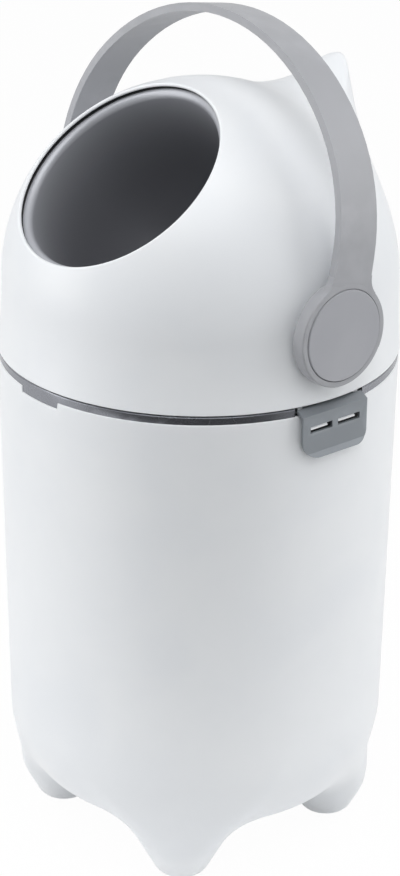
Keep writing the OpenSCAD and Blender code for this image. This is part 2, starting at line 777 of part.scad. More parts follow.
module bowl() {
    seat = drum_r - wall;
    flange_r1 = bowl_rim_r + bowl_flange_w;
    on_ball = function (r, ball) [r, sqrt(ball * ball - r * r)];
    outer = bowl_wall(bowl_r + wall, bowl_bottom_h - wall, lip_centre_h - 2);
    color(dark)
        mouth_frame() rotate_extrude()
            polygon(concat(
                bowl_wall(bowl_r, bowl_bottom_h, lip_centre_h),
                arc(lip_centre_r, lip_centre_h, bowl_lip, 170, lip_angle, 10),
                [on_ball(bowl_rim_r, drum_r), on_ball(bowl_rim_r, seat),
                 on_ball(flange_r1, seat), on_ball(flange_r1, seat - 2), on_ball(bowl_r + wall + 4, seat - 3)],
                [for (i = [len(outer) - 1:-1:0]) outer[i]]));
}

module axle(side) {
    color(metal)
        difference() {
            union() {
                translate([0, 0, hub_z]) rotate([0, side * 90, 0])
                    translate([0, 0, drum_half_w]) cylinder(r = axle_r, h = hub_in_x - drum_half_w);
                square_tenon(side, axle_in_x, drum_half_w + 1, 0);
                square_tenon(side, hub_in_x - 1, axle_out_x - 0.2, 0);
            }
            translate([side * (axle_in_x - 1), 0, hub_z]) rotate([0, side * 90, 0])
                cylinder(r = hub_screw_r + 0.1, h = axle_out_x - axle_in_x + 2);
        }
}

// Outline of the band seen from the front, shrunk by t: crown arc, two shoulders, two straight ends
function band_half(t) =
    concat([[handle_half_w - t, -10]],
           arc(handle_half_w - shoulder_r, shoulder_centre, shoulder_r - t, 0, 90 - crown_half_angle, 10),
           arc(0, crown_centre, crown_r - t, 90 - crown_half_angle, 90, 12));
function mirrored(pts) = [for (i = [len(pts) - 2:-1:0]) [-pts[i][0], pts[i][1]]];
function reversed(pts) = [for (i = [len(pts) - 1:-1:0]) pts[i]];

// Outline of one end of the band seen from the side: hub, concave blends and a tapering arm
module band_side() {
    blend_y = band_w_low / 2 + hub_blend;
    blend_z = sqrt(pow(hub_r + hub_blend, 2) - pow(blend_y, 2));
    turn = atan2(blend_z, blend_y);
    circle(r = hub_r - 0.5);
    polygon([[-band_w_low / 2, 0], [band_w_low / 2, 0],
             [band_w_top / 2, crown_rise + 2], [-band_w_top / 2, crown_rise + 2]]);
    for (side = [0, 1])
        mirror([side, 0])
            polygon(concat([[0, 0]], arc(blend_y, blend_z, hub_blend, 180 + turn, 180, 8), [[0, blend_z]]));
}

module handle() {
    outer = band_half(0);
    inner = band_half(band_t);
    edge = 0.8;
    color(grey)
        difference() {
            union() {
                translate([0, 0, hub_z]) rotate([-handle_lean, 0, 0])
                    intersection() {
                        rotate([90, 0, 0]) translate([0, 0, -hub_r]) linear_extrude(2 * hub_r)
                            polygon(concat(outer, mirrored(outer), reversed(concat(inner, mirrored(inner)))));
                        rotate([90, 0, 90]) translate([0, 0, -handle_half_w - 1])
                            linear_extrude(2 * handle_half_w + 2) band_side();
                    }
                for (side = [-1, 1])
                    translate([0, 0, hub_z]) rotate([0, side * 90, 0])
                        rotate_extrude()
                            polygon([[0, hub_in_x], [hub_r, hub_in_x], [hub_r, hub_face_x - edge],
                                     [hub_r - edge, hub_face_x], [0, hub_face_x]]);
            }
            for (side = [-1, 1]) {
                translate([side * cap_back_x, 0, hub_z]) rotate([0, side * 90, 0])
                    cylinder(r = cap_r + cap_gap, h = 20);
                translate([side * screw_head_x, 0, hub_z]) rotate([0, side * 90, 0])
                    cylinder(r = screw_head_r + 0.3, h = 20);
                translate([side * (hub_in_x - 1), 0, hub_z]) rotate([0, side * 90, 0])
                    cylinder(r = hub_screw_r + 0.1, h = 20);
                square_tenon(side, hub_in_x - 1, axle_out_x, tenon_fit);
            }
        }
}

module hub_cap(side) {
    edge = 0.5;
    color(grey)
        translate([0, 0, hub_z]) rotate([0, side * 90, 0])
            rotate_extrude()
                polygon([[0, cap_back_x], [cap_r, cap_back_x], [cap_r, cap_back_x + cap_t - edge],
                         [cap_r - edge, cap_back_x + cap_t], [0, cap_back_x + cap_t]]);
}

module hub_screws() {
    color(metal)
        for (side = [-1, 1])
            translate([0, 0, hub_z]) rotate([0, side * 90, 0]) {
                translate([0, 0, screw_head_x]) cylinder(r = screw_head_r, h = screw_head_t);
                translate([0, 0, boss_end_x + 0.5]) cylinder(r = hub_screw_r, h = screw_head_x - boss_end_x);
            }
}

// The latch: a flat plate with two slots, a strip that slopes in under the dome, and a knuckle
module latch() {
    low_z = seam_h - latch_drop;
    back_x = latch_x - latch_t;
    color(steel_grey)
        difference() {
            union() {
                intersection() {
                    translate([0, latch_w / 2, 0]) rotate([90, 0, 0]) linear_extrude(latch_w)
                        polygon([[back_x, low_z], [latch_x + lip_out, low_z], [latch_x, low_z + lip_h],
                                 [latch_x, seam_h - bend_drop], [strip_top_x, seam_h - strip_drop],
                                 [strip_top_x, seam_h - strip_drop - 2.6],
                                 [back_x, seam_h - bend_drop - 0.5]]);
                    rotate([90, 0, 90]) linear_extrude(latch_x + 5) latch_outline(low_z);
                }
                latch_barrel(latch_knuckle_r, latch_knuckle_w);
                translate([0, latch_knuckle_w / 2, 0]) rotate([90, 0, 0]) linear_extrude(latch_knuckle_w)
                    polygon([[latch_pin_x, latch_pin_z + 1.6], [strip_top_x + 0.5, seam_h - strip_drop - 0.4],
                             [strip_top_x + 0.5, seam_h - strip_drop - 2.7], [latch_pin_x, latch_pin_z - 1.6]]);
            }
            latch_barrel(latch_pin_r + pin_fit, latch_w + 2);
            for (side = [-1, 1])
                translate([back_x - 1, side * slot_y - slot_w / 2, slot_z - slot_h / 2])
                    cube([latch_t + 2, slot_w, slot_h]);
        }
}

// Front view of the latch, with round lower corners
module latch_outline(low_z) {
    half = latch_w / 2;
    polygon(concat(
        [[half, seam_h]],
        arc(half - latch_corner, low_z + latch_corner, latch_corner, 0, -90, 8),
        arc(latch_corner - half, low_z + latch_corner, latch_corner, 270, 180, 8),
        [[-half, seam_h]]));
}

bin_body();
bag_ring();
foot_pad(225);  // foot_pad_front_left
foot_pad(315);  // foot_pad_front_right
foot_pad(135);  // foot_pad_rear_left
foot_pad(45);  // foot_pad_rear_right
hinge_bracket();
bracket_screws();
hinge_pin();
head_shell();
mouth_seal();
head_deck();
drum_seal();
deck_screws();
bush(-1);  // bush_left
bush(1);  // bush_right
hinge_leaf();
leaf_screws();
latch_pin();
drum_front();
drum_rear();
bowl();
axle(-1);  // axle_left
axle(1);  // axle_right
handle();
hub_cap(-1);  // hub_cap_left
hub_cap(1);  // hub_cap_right
hub_screws();
latch();
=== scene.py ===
# %% [markdown]
# # A nappy bin: white body on four short legs, domed head, ball drum, arched handle
#
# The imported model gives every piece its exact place, and this file dresses it. A camera, a floor and soft
# light come first. Then come the big smooth mouldings, which are new surfaces worked out with numpy, and the
# small pieces, which are copies of the solids with soft edges. Last, each plastic, rubber and metal gets its
# own finish.

# %% Load the model
import json

import bmesh
import bpy
import numpy as np
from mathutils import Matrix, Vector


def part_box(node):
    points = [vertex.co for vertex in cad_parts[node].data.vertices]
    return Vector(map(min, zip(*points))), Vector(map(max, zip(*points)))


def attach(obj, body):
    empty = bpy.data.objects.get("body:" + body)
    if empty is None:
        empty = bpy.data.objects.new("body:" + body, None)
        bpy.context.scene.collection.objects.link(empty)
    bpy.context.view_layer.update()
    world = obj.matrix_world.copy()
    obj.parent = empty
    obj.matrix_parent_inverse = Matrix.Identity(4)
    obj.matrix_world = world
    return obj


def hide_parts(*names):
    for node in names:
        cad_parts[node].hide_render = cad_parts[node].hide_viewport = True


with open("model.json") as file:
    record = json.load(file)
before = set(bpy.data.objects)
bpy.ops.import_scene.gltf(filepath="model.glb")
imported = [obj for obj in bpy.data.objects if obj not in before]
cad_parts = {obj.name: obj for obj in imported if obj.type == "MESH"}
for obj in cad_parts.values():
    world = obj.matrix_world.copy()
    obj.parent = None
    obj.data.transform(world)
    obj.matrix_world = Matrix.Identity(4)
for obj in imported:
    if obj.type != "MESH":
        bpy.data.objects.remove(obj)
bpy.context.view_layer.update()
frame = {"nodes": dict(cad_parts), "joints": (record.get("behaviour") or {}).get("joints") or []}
nodes = frame["nodes"]

# %% [markdown]
# ## Places that everything hangs on
#
# Sizes below are in millimetres, as on a drawing, and turn into metres only when a mesh is made. Three
# heights come from the model itself: the body's rim, the seam under the head, and the axis of the handle.

# %% Datum heights
MM = 0.001
SEAM_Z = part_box("head_shell")[0].z / MM
RIM_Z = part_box("bin_body")[1].z / MM
joint_at = {j["name"]: np.array(j["pos_m"]) / MM for j in frame["joints"]}
HUB_Z = joint_at["handle_swing"][2]
RIM_R = 139.6                 # outer radius of the body at its rim
WALL = 2.5                    # wall of the large mouldings
print("rim", round(RIM_Z, 1), "seam", round(SEAM_Z, 1), "handle axis", round(HUB_Z, 1))

# %% [markdown]
# ## Camera
#
# The camera stands to the front and right of the bin and looks slightly down. Its direction is written
# as two angles, because they are easier to think about than a rotation matrix: azimuth turns round the
# upright axis, pitch tips the view down, and a small roll levels the frame. The lens is long, so that
# the upright sides hardly converge.

# %% Camera
IMAGE_H = 876                 # height of the picture, and the lens in the same unit: pixels
LENS = 2767.0
R = 0.14                      # unit of the camera's distances: about the radius of the seam
DISTANCE = 14.0
AIM_SIDEWAYS, AIM_UP = 0.0129, -0.5411
azimuth, pitch, roll = np.radians([50.09, 23.53, 0.55])
right = np.array([np.cos(azimuth), np.sin(azimuth), 0.0])
back = np.array([np.sin(azimuth) * np.cos(pitch), -np.cos(azimuth) * np.cos(pitch), np.sin(pitch)])
up = np.cross(back, right)
aim = np.array([0, 0, SEAM_Z * MM + AIM_UP * R]) + AIM_SIDEWAYS * R * right
place = aim + DISTANCE * R * back
right, up = np.cos(roll) * right + np.sin(roll) * up, -np.sin(roll) * right + np.cos(roll) * up


def turned(x, y, z, at):
    """The 4x4 matrix of an object whose own axes point along x, y and z, standing at a point."""
    m = np.eye(4)
    m[:3, 0], m[:3, 1], m[:3, 2], m[:3, 3] = x, y, z, at
    return [list(column) for column in m.T]


cam_data = bpy.data.cameras.new("camera")
cam_data.sensor_fit = "VERTICAL"
cam_data.sensor_height = 36.0
cam_data.lens = LENS / IMAGE_H * cam_data.sensor_height
cam_data.clip_end = 50.0
camera = bpy.data.objects.new("camera", cam_data)
bpy.context.collection.objects.link(camera)
camera.matrix_world = turned(right, up, back, place)
bpy.context.scene.camera = camera
print("camera at", place.round(3), "lens", round(cam_data.lens, 1))

# %% [markdown]
# ## A node in one line
#
# The floor, the sky and all the finishes are trees of shader nodes. A node takes several lines to make, set
# and link, so one helper does all three. What it is given for an input may be a number, a colour or another
# node's output, and it links or sets accordingly.

# %% Add a node
def add(tree, kind, inputs=None, **settings):
    """A new node; an input is a plain value or another node's output."""
    n = tree.nodes.new("ShaderNode" + kind)
    for key, value in settings.items():
        setattr(n, key, value)
    for key, value in (inputs or {}).items():
        if isinstance(value, bpy.types.NodeSocket):
            tree.links.new(value, n.inputs[key])
        else:
            n.inputs[key].default_value = value
    return n


# %% [markdown]
# ## Floor and light
#
# White plastic shows its form only through soft gradients, so the light is large and soft: a panel on each
# side, a third high in front, and a dim sky all round. The side that faces the camera is then a little
# darker than both flanks. The floor is white paper that keeps the bin's shadow. It ends half a metre in
# front of the bin, so that less light comes up from there.

# %% White paper floor
PAPER_WHITE = 0.98
SEEN_WHITE = 0.97             # how far the camera sees the paper as plain white; the rest keeps the shadow
REFLECTED = 0.6               # how much of the white background a glossy surface picks up


def white_paper():
    """Diffuse paper that the camera sees as nearly pure white, with the share of shadow left in it."""
    mat = bpy.data.materials.new("white_paper")
    mat.use_nodes = True
    tree = mat.node_tree
    tree.nodes.clear()
    ray = add(tree, "LightPath").outputs
    glossy = add(tree, "Math", {0: ray["Is Glossy Ray"], 1: REFLECTED}, operation="MULTIPLY").outputs[0]
    share = add(tree, "Math", {0: ray["Is Camera Ray"], 1: SEEN_WHITE, 2: glossy}, operation="MULTIPLY_ADD")
    paper = add(tree, "BsdfDiffuse", {"Color": (PAPER_WHITE, PAPER_WHITE, PAPER_WHITE, 1)})
    glow = add(tree, "Emission", {"Color": (1, 1, 1, 1)})
    mix = add(tree, "MixShader", {"Fac": share.outputs[0], 1: paper.outputs[0], 2: glow.outputs[0]})
    add(tree, "OutputMaterial", {"Surface": mix.outputs[0]})
    return mat


REACH, FRONT_REACH = 6.0, 0.5  # of the sheet from the bin: to the sides and back, and in front
side = np.array([np.cos(azimuth), np.sin(azimuth), 0.0])
ahead = np.array([np.sin(azimuth), -np.cos(azimuth), 0.0])
ends = ((-REACH, FRONT_REACH), (REACH, FRONT_REACH), (REACH, -REACH), (-REACH, -REACH))
corners = [x * side + y * ahead for x, y in ends]
sheet = bpy.data.meshes.new("floor")
sheet.from_pydata([tuple(c.tolist()) for c in corners], [], [(0, 1, 2, 3)])
floor = bpy.data.objects.new("floor", sheet)
bpy.context.collection.objects.link(floor)
floor.data.materials.append(white_paper())
print("floor sheet", 2 * REACH, "m wide, ends", FRONT_REACH, "m in front")

# %% [markdown]
# The sky differs with the ray that looks at it. The camera sees plain white. Light falls from it dimly, and
# a little less from the front. A glossy face sees a share of the white, and straight in front a dark card,
# which gives the satin plastics something to reflect. Each of these is a level that changes with the
# direction, and the light path picks one of them.

# %% Sky
SKY_LIGHT, FRONT_LIGHT = 0.43, 0.33  # strength all round, and straight in front of the bin
DARK_FRONT = 0.03             # what a glossy face sees there
FRONT_EDGE = 0.1              # cosine to the front direction where the front part begins
SKY_TINT = (0.97, 0.985, 1, 1)
world = bpy.data.worlds.new("sky")
bpy.context.scene.world = world
world.use_nodes = True
sky = world.node_tree
sky.nodes.clear()

way = add(sky, "TexCoord").outputs["Generated"]
front = tuple(ahead.tolist())
facing = add(sky, "VectorMath", {0: way, 1: front}, operation="DOT_PRODUCT").outputs["Value"]
ray = add(sky, "LightPath").outputs


def toward_front(around, in_front, full_at):
    """A level that eases from one value all round to another in the front part of the sky."""
    ramp = {"Value": facing, "From Min": FRONT_EDGE, "From Max": full_at, "To Min": around, "To Max": in_front}
    return add(sky, "MapRange", ramp, interpolation_type="SMOOTHSTEP").outputs["Result"]


lit = toward_front(SKY_LIGHT, FRONT_LIGHT, 1.0)
card = toward_front(SKY_LIGHT, DARK_FRONT, 0.8)
strength = add(sky, "Mix", {0: ray["Is Glossy Ray"], 2: lit, 3: card}).outputs[0]
dim = add(sky, "Background", {"Color": SKY_TINT, "Strength": strength})
bright = add(sky, "Background", {"Color": (1, 1, 1, 1), "Strength": 1.0})
direct = add(sky, "Math", {0: ray["Is Camera Ray"], 1: ray["Is Transmission Ray"]}, operation="MAXIMUM")
share_of_white = toward_front(REFLECTED, 0.0, 0.8)
mirror = add(sky, "Math", {0: ray["Is Glossy Ray"], 1: share_of_white}, operation="MULTIPLY")
seen = add(sky, "Math", {0: direct.outputs[0], 1: mirror.outputs[0]}, operation="MAXIMUM")
mix = add(sky, "MixShader", {"Fac": seen.outputs[0], 1: dim.outputs[0], 2: bright.outputs[0]})
add(sky, "OutputWorld", {"Surface": mix.outputs[0]})
print("sky", len(sky.nodes), "nodes")


# %% Light panels
def panel(name, at, toward, size, power):
    """A rectangular area lamp at one point, turned so that its face looks toward another."""
    lamp = bpy.data.lights.new(name, "AREA")
    lamp.shape, lamp.size, lamp.size_y, lamp.energy = "RECTANGLE", size[0], size[1], power
    obj = bpy.data.objects.new(name, lamp)
    bpy.context.collection.objects.link(obj)
    z = np.array(at, float) - np.array(toward, float)
    z /= np.linalg.norm(z)
    x = np.cross([0, 0, 1], z)
    x /= np.linalg.norm(x)
    obj.matrix_world = turned(x, np.cross(z, x), z, at)


def beside_camera(angle, distance, height):
    """A point round the bin, at an angle from the camera's direction: positive is to the camera's right."""
    a = azimuth + np.radians(angle)
    return (distance * np.sin(a), -distance * np.cos(a), height)


BIN_MIDDLE = (0, 0, 0.35)
panel("left_panel", beside_camera(-84, 1.5, 0.85), BIN_MIDDLE, (1.0, 1.7), 10)
panel("right_panel", beside_camera(88, 1.4, 0.95), BIN_MIDDLE, (1.0, 1.7), 9)
panel("top_panel", beside_camera(-5, 0.85, 2.1), BIN_MIDDLE, (1.6, 1.6), 21)
print("three panels toward", BIN_MIDDLE)

# %% [markdown]
# ## From a grid of points to a piece
#
# Every new surface is a grid: rows run along the form, columns run round it. One helper makes the quads
# between them for the whole grid at once. Where a grid shrinks to a pole, a fan of triangles closes it.
# A closed surface has a signed volume, so the helper can tell by itself whether the faces point out.

# %% Grid to mesh
def grid_faces(rows, cols, wrap_rows):
    """Quads between neighbours of a rows x cols grid whose columns run all the way round."""
    i = np.arange(rows if wrap_rows else rows - 1)[:, None]
    j = np.arange(cols)[None, :]
    i2, j2 = (i + 1) % rows, (j + 1) % cols
    corners = (i * cols + j, i * cols + j2, i2 * cols + j2, i2 * cols + j)
    return np.stack([np.broadcast_to(c, (i.size, cols)).ravel() for c in corners], 1)


def new_piece(name, verts, faces):
    """A smooth mesh object from points in millimetres and lists of face corners."""
    mesh = bpy.data.meshes.new(name)
    mesh.from_pydata((np.asarray(verts) * MM).tolist(), [], faces)
    mesh.validate()
    mesh.shade_smooth()
    obj = bpy.data.objects.new(name, mesh)
    bpy.context.collection.objects.link(obj)
    return obj


def signed_volume(verts, quads):
    """Six times the volume under two triangles of each quad: positive where faces point out."""
    a, b, c, d = (verts[quads[:, k]] for k in range(4))
    return np.einsum("ij,ij->", a, np.cross(b, c)) + np.einsum("ij,ij->", a, np.cross(c, d))


def closed_skin(name, grid, wrap_rows=False, poles=None):
    """A closed piece from a grid; poles are the two end points where the rows don't join up."""
    rows, cols, _ = grid.shape
    verts = grid.reshape(-1, 3)
    quads = grid_faces(rows, cols, wrap_rows)
    if signed_volume(verts, quads) < 0:
        quads = quads[:, ::-1]
    flipped = quads[0, 0] != 0
    faces = quads.tolist()
    if poles is not None:
        n, last, j = rows * cols, (rows - 1) * cols, np.arange(cols)
        j2 = (j + 1) % cols
        first_fan = np.stack([np.full(cols, n), j2, j], 1)
        last_fan = np.stack([np.full(cols, n + 1), last + j, last + j2], 1)
        fans = np.concatenate([first_fan, last_fan])
        faces += (fans[:, ::-1] if flipped else fans).tolist()
        verts = np.concatenate([verts, np.asarray(poles, float)])
    piece = new_piece(name, verts, faces)
    print(name, len(verts), "points", len(faces), "faces")
    return piece


def wear(piece, body, replaced):
    """The piece moves with a body and stands for some nodes, which it hides."""
    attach(piece, body)
    if replaced:
        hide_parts(*replaced)
    return piece

# %% [markdown]
# ## Body
#
# The body is one injection moulding: a slightly tapering tub whose rounded bottom edge flows into four
# legs. A revolve can't have legs, and a boolean leaves creases, so the form is written as a distance: how
# far a point is outside the tub, how far it is outside the nearest leg, and a rounded minimum of the two
# that melts them together. Rays from inside the plastic then find where that distance is zero.

# %% Sizes of the body
TAPER = 4.5                   # how much the flank has come in where the bottom starts to round
FLOOR_Z = 44.0                # underside of the tub
ROUND_H, ROUND_W = 50.0, 29.5  # height and width of the rounded bottom edge
ROUND_POWER = 1.65            # 2 is an ellipse, less is a flatter round
LEG_AXIS_R = 98.1             # distance from the bin's axis to a leg's axis
LEG_OUT = 128.3               # radius of a leg's upright outer side
LEG_SLOPE = np.radians(28.0)  # slope of a leg's sides from upright
FOOT_Z, FOOT_R, FOOT_ROUND = 2.0, 9.5, 11.5
LEG_BLEND, SIDE_BLEND = 18.0, 6.0
ROUND_TOP = FLOOR_Z + ROUND_H
BASE_R = RIM_R - TAPER


def flank(z):
    """Radius of the tapering flank: straight from the round's top up to the rim."""
    return BASE_R + TAPER * np.clip((z - ROUND_TOP) / (RIM_Z - ROUND_TOP), 0, None)


# %% Rounded minimum
def round_min(p, q, k):
    """Minimum of two distances; where they differ by less than k a parabola rounds the corner."""
    h = np.maximum(k - np.abs(p - q), 0)
    return np.minimum(p, q) - h * h / (4 * k)


def round_max(p, q, k):
    """Maximum of two distances, rounded in the same way."""
    return -round_min(-p, -q, k)


# %% Distance outside the tub and outside a leg
WELL_INSIDE = 0.2             # below this level a point simply counts as deep inside
LEAST_SLOPE = 1 / 80          # keeps the division below from running away


def outside_tub(r, z):
    """Superellipse level of the bottom edge, minus one, divided by its slope to make it a distance."""
    u = np.maximum(r - flank(z) + ROUND_W, 0) / ROUND_W
    v = np.maximum(ROUND_TOP - z, 0) / ROUND_H
    level = (u ** ROUND_POWER + v ** ROUND_POWER) ** (1 / ROUND_POWER)
    safe = np.maximum(level, WELL_INSIDE)
    slope = np.hypot(u ** (ROUND_POWER - 1) / ROUND_W, v ** (ROUND_POWER - 1) / ROUND_H)
    slope = np.maximum(slope * safe ** (1 - ROUND_POWER), LEAST_SLOPE)
    return np.where(level < WELL_INSIDE, -ROUND_W, (level - 1) / slope)


def leg_radius(z):
    """A flat end with a rounded edge, under a cone that widens upwards."""
    middle = FOOT_Z + FOOT_ROUND
    start = middle - FOOT_ROUND * np.sin(LEG_SLOPE)
    rounding = FOOT_R + np.sqrt(np.maximum(FOOT_ROUND ** 2 - (np.maximum(z, FOOT_Z) - middle) ** 2, 0))
    cone = FOOT_R + FOOT_ROUND * np.cos(LEG_SLOPE) + (z - start) * np.tan(LEG_SLOPE)
    return np.where(z < start, rounding, cone)


def outside_body(r, turn, z):
    """Distance outside tub and nearest leg, melted together: widely under the floor, narrowly outside."""
    from_leg = (turn % (np.pi / 2)) - np.pi / 4
    x, y = r * np.cos(from_leg) - LEG_AXIS_R, r * np.sin(from_leg)
    rho = np.hypot(x, y)
    side = (rho - leg_radius(z)) * np.cos(LEG_SLOPE)
    leg = np.maximum(round_max(side, r - LEG_OUT, SIDE_BLEND), FOOT_Z - z)
    facing = x / np.maximum(rho, 1e-6)
    width = SIDE_BLEND + (LEG_BLEND - SIDE_BLEND) * np.minimum(1 - facing, 1)
    return round_min(leg, outside_tub(r, z), width)


# %% [markdown]
# The rays start where they meet the skin nearly square. Under the floor they fall straight down, round a
# leg's outer side they fan out from a ring inside the leg's root, and up the flank they run level. The
# same rays give the inner wall, by looking for the place that is one wall further in.

# %% Rays and where they meet the body
FAN_R, FAN_Z = LEG_AXIS_R, 60.0  # where the fan of rays starts
LEVEL_RISE = 46.0             # how far above the fan the level rays go
LEVEL_TOP = FAN_Z + LEVEL_RISE
COARSE_R = 46.0               # inside this radius the rays that fall down stand further apart
RAY_LENGTH, HALVINGS = 90.0, 34


def body_rays():
    """Start (r, z) and direction (dr, dz) of each row of rays, from the bin's axis up to the flank."""
    down_r = np.concatenate([np.linspace(1.5, COARSE_R, 14, endpoint=False), np.linspace(COARSE_R, FAN_R, 40)])
    fan = np.radians(np.linspace(-90, 0, 62))[1:]
    level_z = FAN_Z + LEVEL_RISE * np.linspace(0, 1, 26)[1:] ** 1.1
    start_r = np.concatenate([down_r, np.full(fan.size + level_z.size, FAN_R)])
    start_z = np.concatenate([np.full(down_r.size + fan.size, FAN_Z), level_z])
    dr = np.concatenate([np.zeros(down_r.size), np.cos(fan), np.ones(level_z.size)])
    dz = np.concatenate([-np.ones(down_r.size), np.sin(fan), np.zeros(level_z.size)])
    return [v[:, None] for v in (start_r, start_z, dr, dz)]


def find_skin(turn, inset):
    """Halves each ray until the distance outside the body is minus the inset; gives r and z."""
    r0, z0, dr, dz = body_rays()
    near, far = np.zeros((r0.size, turn.size)), np.full((r0.size, turn.size), RAY_LENGTH)
    for _ in range(HALVINGS):
        t = (near + far) / 2
        inside = outside_body(r0 + dr * t, turn, z0 + dz * t) < -inset
        near, far = np.where(inside, t, near), np.where(inside, far, t)
    return r0 + dr * t, z0 + dz * t


# %% Columns of the body
TAB_HALF_W, TAB_DROP = 19.8, 4.5  # notch in the rim for the ring's tab
CORNER_STEPS = np.radians([-0.35, -0.12, 0.12, 0.35])


def with_corners(turn, centre, half_width):
    """Angles round a wall, with four close ones in place of the others at each corner of a notch."""
    edge = np.arcsin(half_width / RIM_R)
    corners = centre + np.concatenate([s * (edge + CORNER_STEPS) for s in (-1, 1)])
    keep = np.min(np.abs(turn[:, None] - corners[None, :]), 1) > np.radians(0.3)
    return np.sort(np.concatenate([turn[keep], corners]))


def body_columns():
    """Angles round the body, twice as dense at the legs."""
    even = np.linspace(0, 2 * np.pi, 364, endpoint=False)
    return with_corners((even + 0.12 * np.sin(4 * even)) % (2 * np.pi), 1.5 * np.pi, TAB_HALF_W)


# %% The body's skin
def body_skin():
    """Outer skin from the pole under the floor to the rim, over it, and down the coarser inner wall."""
    turn = body_columns()
    from_front = np.abs(turn - 1.5 * np.pi)
    edge = np.arcsin(TAB_HALF_W / RIM_R)
    notch = np.clip((edge + np.radians(0.12) - from_front) / np.radians(0.24), 0, 1)
    top = RIM_Z - TAB_DROP * notch[None, :]
    lip = 0.8
    rise = np.linspace(0, 1, 34)[1:, None] ** 0.9
    wall_z = LEVEL_TOP + rise * (top - lip - LEVEL_TOP)
    arc = np.radians(np.linspace(0, 90, 5))[1:, None]
    outer = find_skin(turn, 0)
    inner = [rows[::2] for rows in find_skin(turn, WALL)]
    inner_z = wall_z[::-2]
    lip_out = (flank(top) - lip + lip * np.cos(arc), top - lip + lip * np.sin(arc))
    lip_in = (flank(top) - WALL + lip - lip * np.cos(arc[::-1]), top - lip + lip * np.sin(arc[::-1]))
    r = np.concatenate([outer[0], flank(wall_z), lip_out[0], lip_in[0], flank(inner_z) - WALL, inner[0][::-1]])
    z = np.concatenate([outer[1], wall_z, lip_out[1], lip_in[1], inner_z, inner[1][::-1]])
    grid = np.stack([r * np.cos(turn), r * np.sin(turn), z], -1)
    return closed_skin("body_moulding", grid, poles=[(0, 0, z[0].mean()), (0, 0, z[-1].mean())])


body = wear(body_skin(), "bin", ["bin_body"])

# %% [markdown]
# ### Catch noses and painted-shadow strip
#
# Two small wedges stand out of the body behind the latch, and each catches in one slot of it. They are
# part of the body's moulding. A wedge is a side profile carried along a straight path, with a bevel.
# A thin strip in the dark rubber finish lies on the wall round them as painted shadow: it stands for the
# shade between latch and body, so the slots look dark beside the wedges. It follows the wall: a flat oblong
# profile carried along an arc, closed by a point at each end.

# %% Catch noses
LATCH_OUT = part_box("latch")[1].x / MM
SLOT_Z, SLOT_Y = SEAM_Z - 15.0, 12.2  # height of the slots, and how far each lies to the side
NOSE_W, NOSE_H = 14.8, 2.2
NOSE_SHIFT = -1.7             # both noses lie a little off the middle of their slots
TIP_IN, SHOULDER_IN = 1.6, 2.8  # how far tip and shoulder stay behind the latch's outer face


def prism(name, profile, y0, y1, bevel):
    """A profile of (x, z) corners carried from y0 to y1, closed at both ends."""
    profile = np.asarray(profile, float)
    n = len(profile)
    verts = np.concatenate([np.insert(profile, 1, y, axis=1) for y in (y0, y1)])
    sides = [[k, (k + 1) % n, n + (k + 1) % n, n + k] for k in range(n)]
    piece = new_piece(name, verts, sides + [list(range(n))[::-1], list(range(n, 2 * n))])
    soften(piece, bevel)
    return piece


def soften(piece, width, segments=3, angle=30):
    """Rounds every sharp edge of a piece with a bevel that keeps the flat faces flat."""
    piece.data.set_sharp_from_angle(angle=np.radians(angle))
    bevel = piece.modifiers.new("soft_edges", "BEVEL")
    bevel.limit_method = "ANGLE"
    bevel.angle_limit = np.radians(angle)
    bevel.width = width * MM
    bevel.segments = segments
    bevel.use_clamp_overlap = True
    bevel.harden_normals = True


noses = []
for side, name in ((-1, "catch_nose_front"), (1, "catch_nose_rear")):
    root, tip, shoulder = RIM_R - 2, LATCH_OUT - TIP_IN, LATCH_OUT - SHOULDER_IN
    low, high = -NOSE_H / 2, NOSE_H / 2
    wedge = [(root, low), (tip, low), (tip, low / 2), (shoulder, high), (root, high)]
    wedge = [(x, z + SLOT_Z) for x, z in wedge]
    middle = side * SLOT_Y + NOSE_SHIFT
    nose = prism(name, wedge, middle - NOSE_W / 2, middle + NOSE_W / 2, 0.4)
    noses.append(wear(nose, "bin", []))

# %% Painted-shadow strip
STRIP_FRONT, STRIP_BACK = -9.7, 11.2  # where it ends, in degrees round from the latch's middle
STRIP_H, STRIP_PROUD = 6.5, 0.5  # half its height, and how far it stands out of the rim's line


def painted_shade_strip_skin():
    """Corners (radius, height) of an oblong, carried along an arc of the wall: the strip of painted shadow."""
    turn = np.radians(np.linspace(STRIP_FRONT, STRIP_BACK, 40))[:, None]
    r = RIM_R + np.array([-1, STRIP_PROUD, STRIP_PROUD, -1])[None]
    z = SLOT_Z + STRIP_H * np.array([-1, -1, 1, 1])[None]
    grid = np.stack(np.broadcast_arrays(r * np.cos(turn), r * np.sin(turn), z), -1)
    piece = closed_skin("latch_painted_shade_strip", grid, poles=[grid[0].mean(0), grid[-1].mean(0)])
    soften(piece, 0.5)
    return piece


# painted shadow behind the latch, seen through its slots
painted_shade_strip = wear(painted_shade_strip_skin(), "bin", [])

# %% [markdown]
# ## Dome
#
# The head is a ball standing on a short flared skirt, opened by a round mouth that faces up and forward,
# with a soft upright fin at the back. The mouth is round in its own tilted frame and the seam is round
# in the level one, so the grid's rows are great-circle arcs from a point of the mouth to a point of the
# seam. The fin is only a change of radius over two angles, which keeps the skin in one piece.

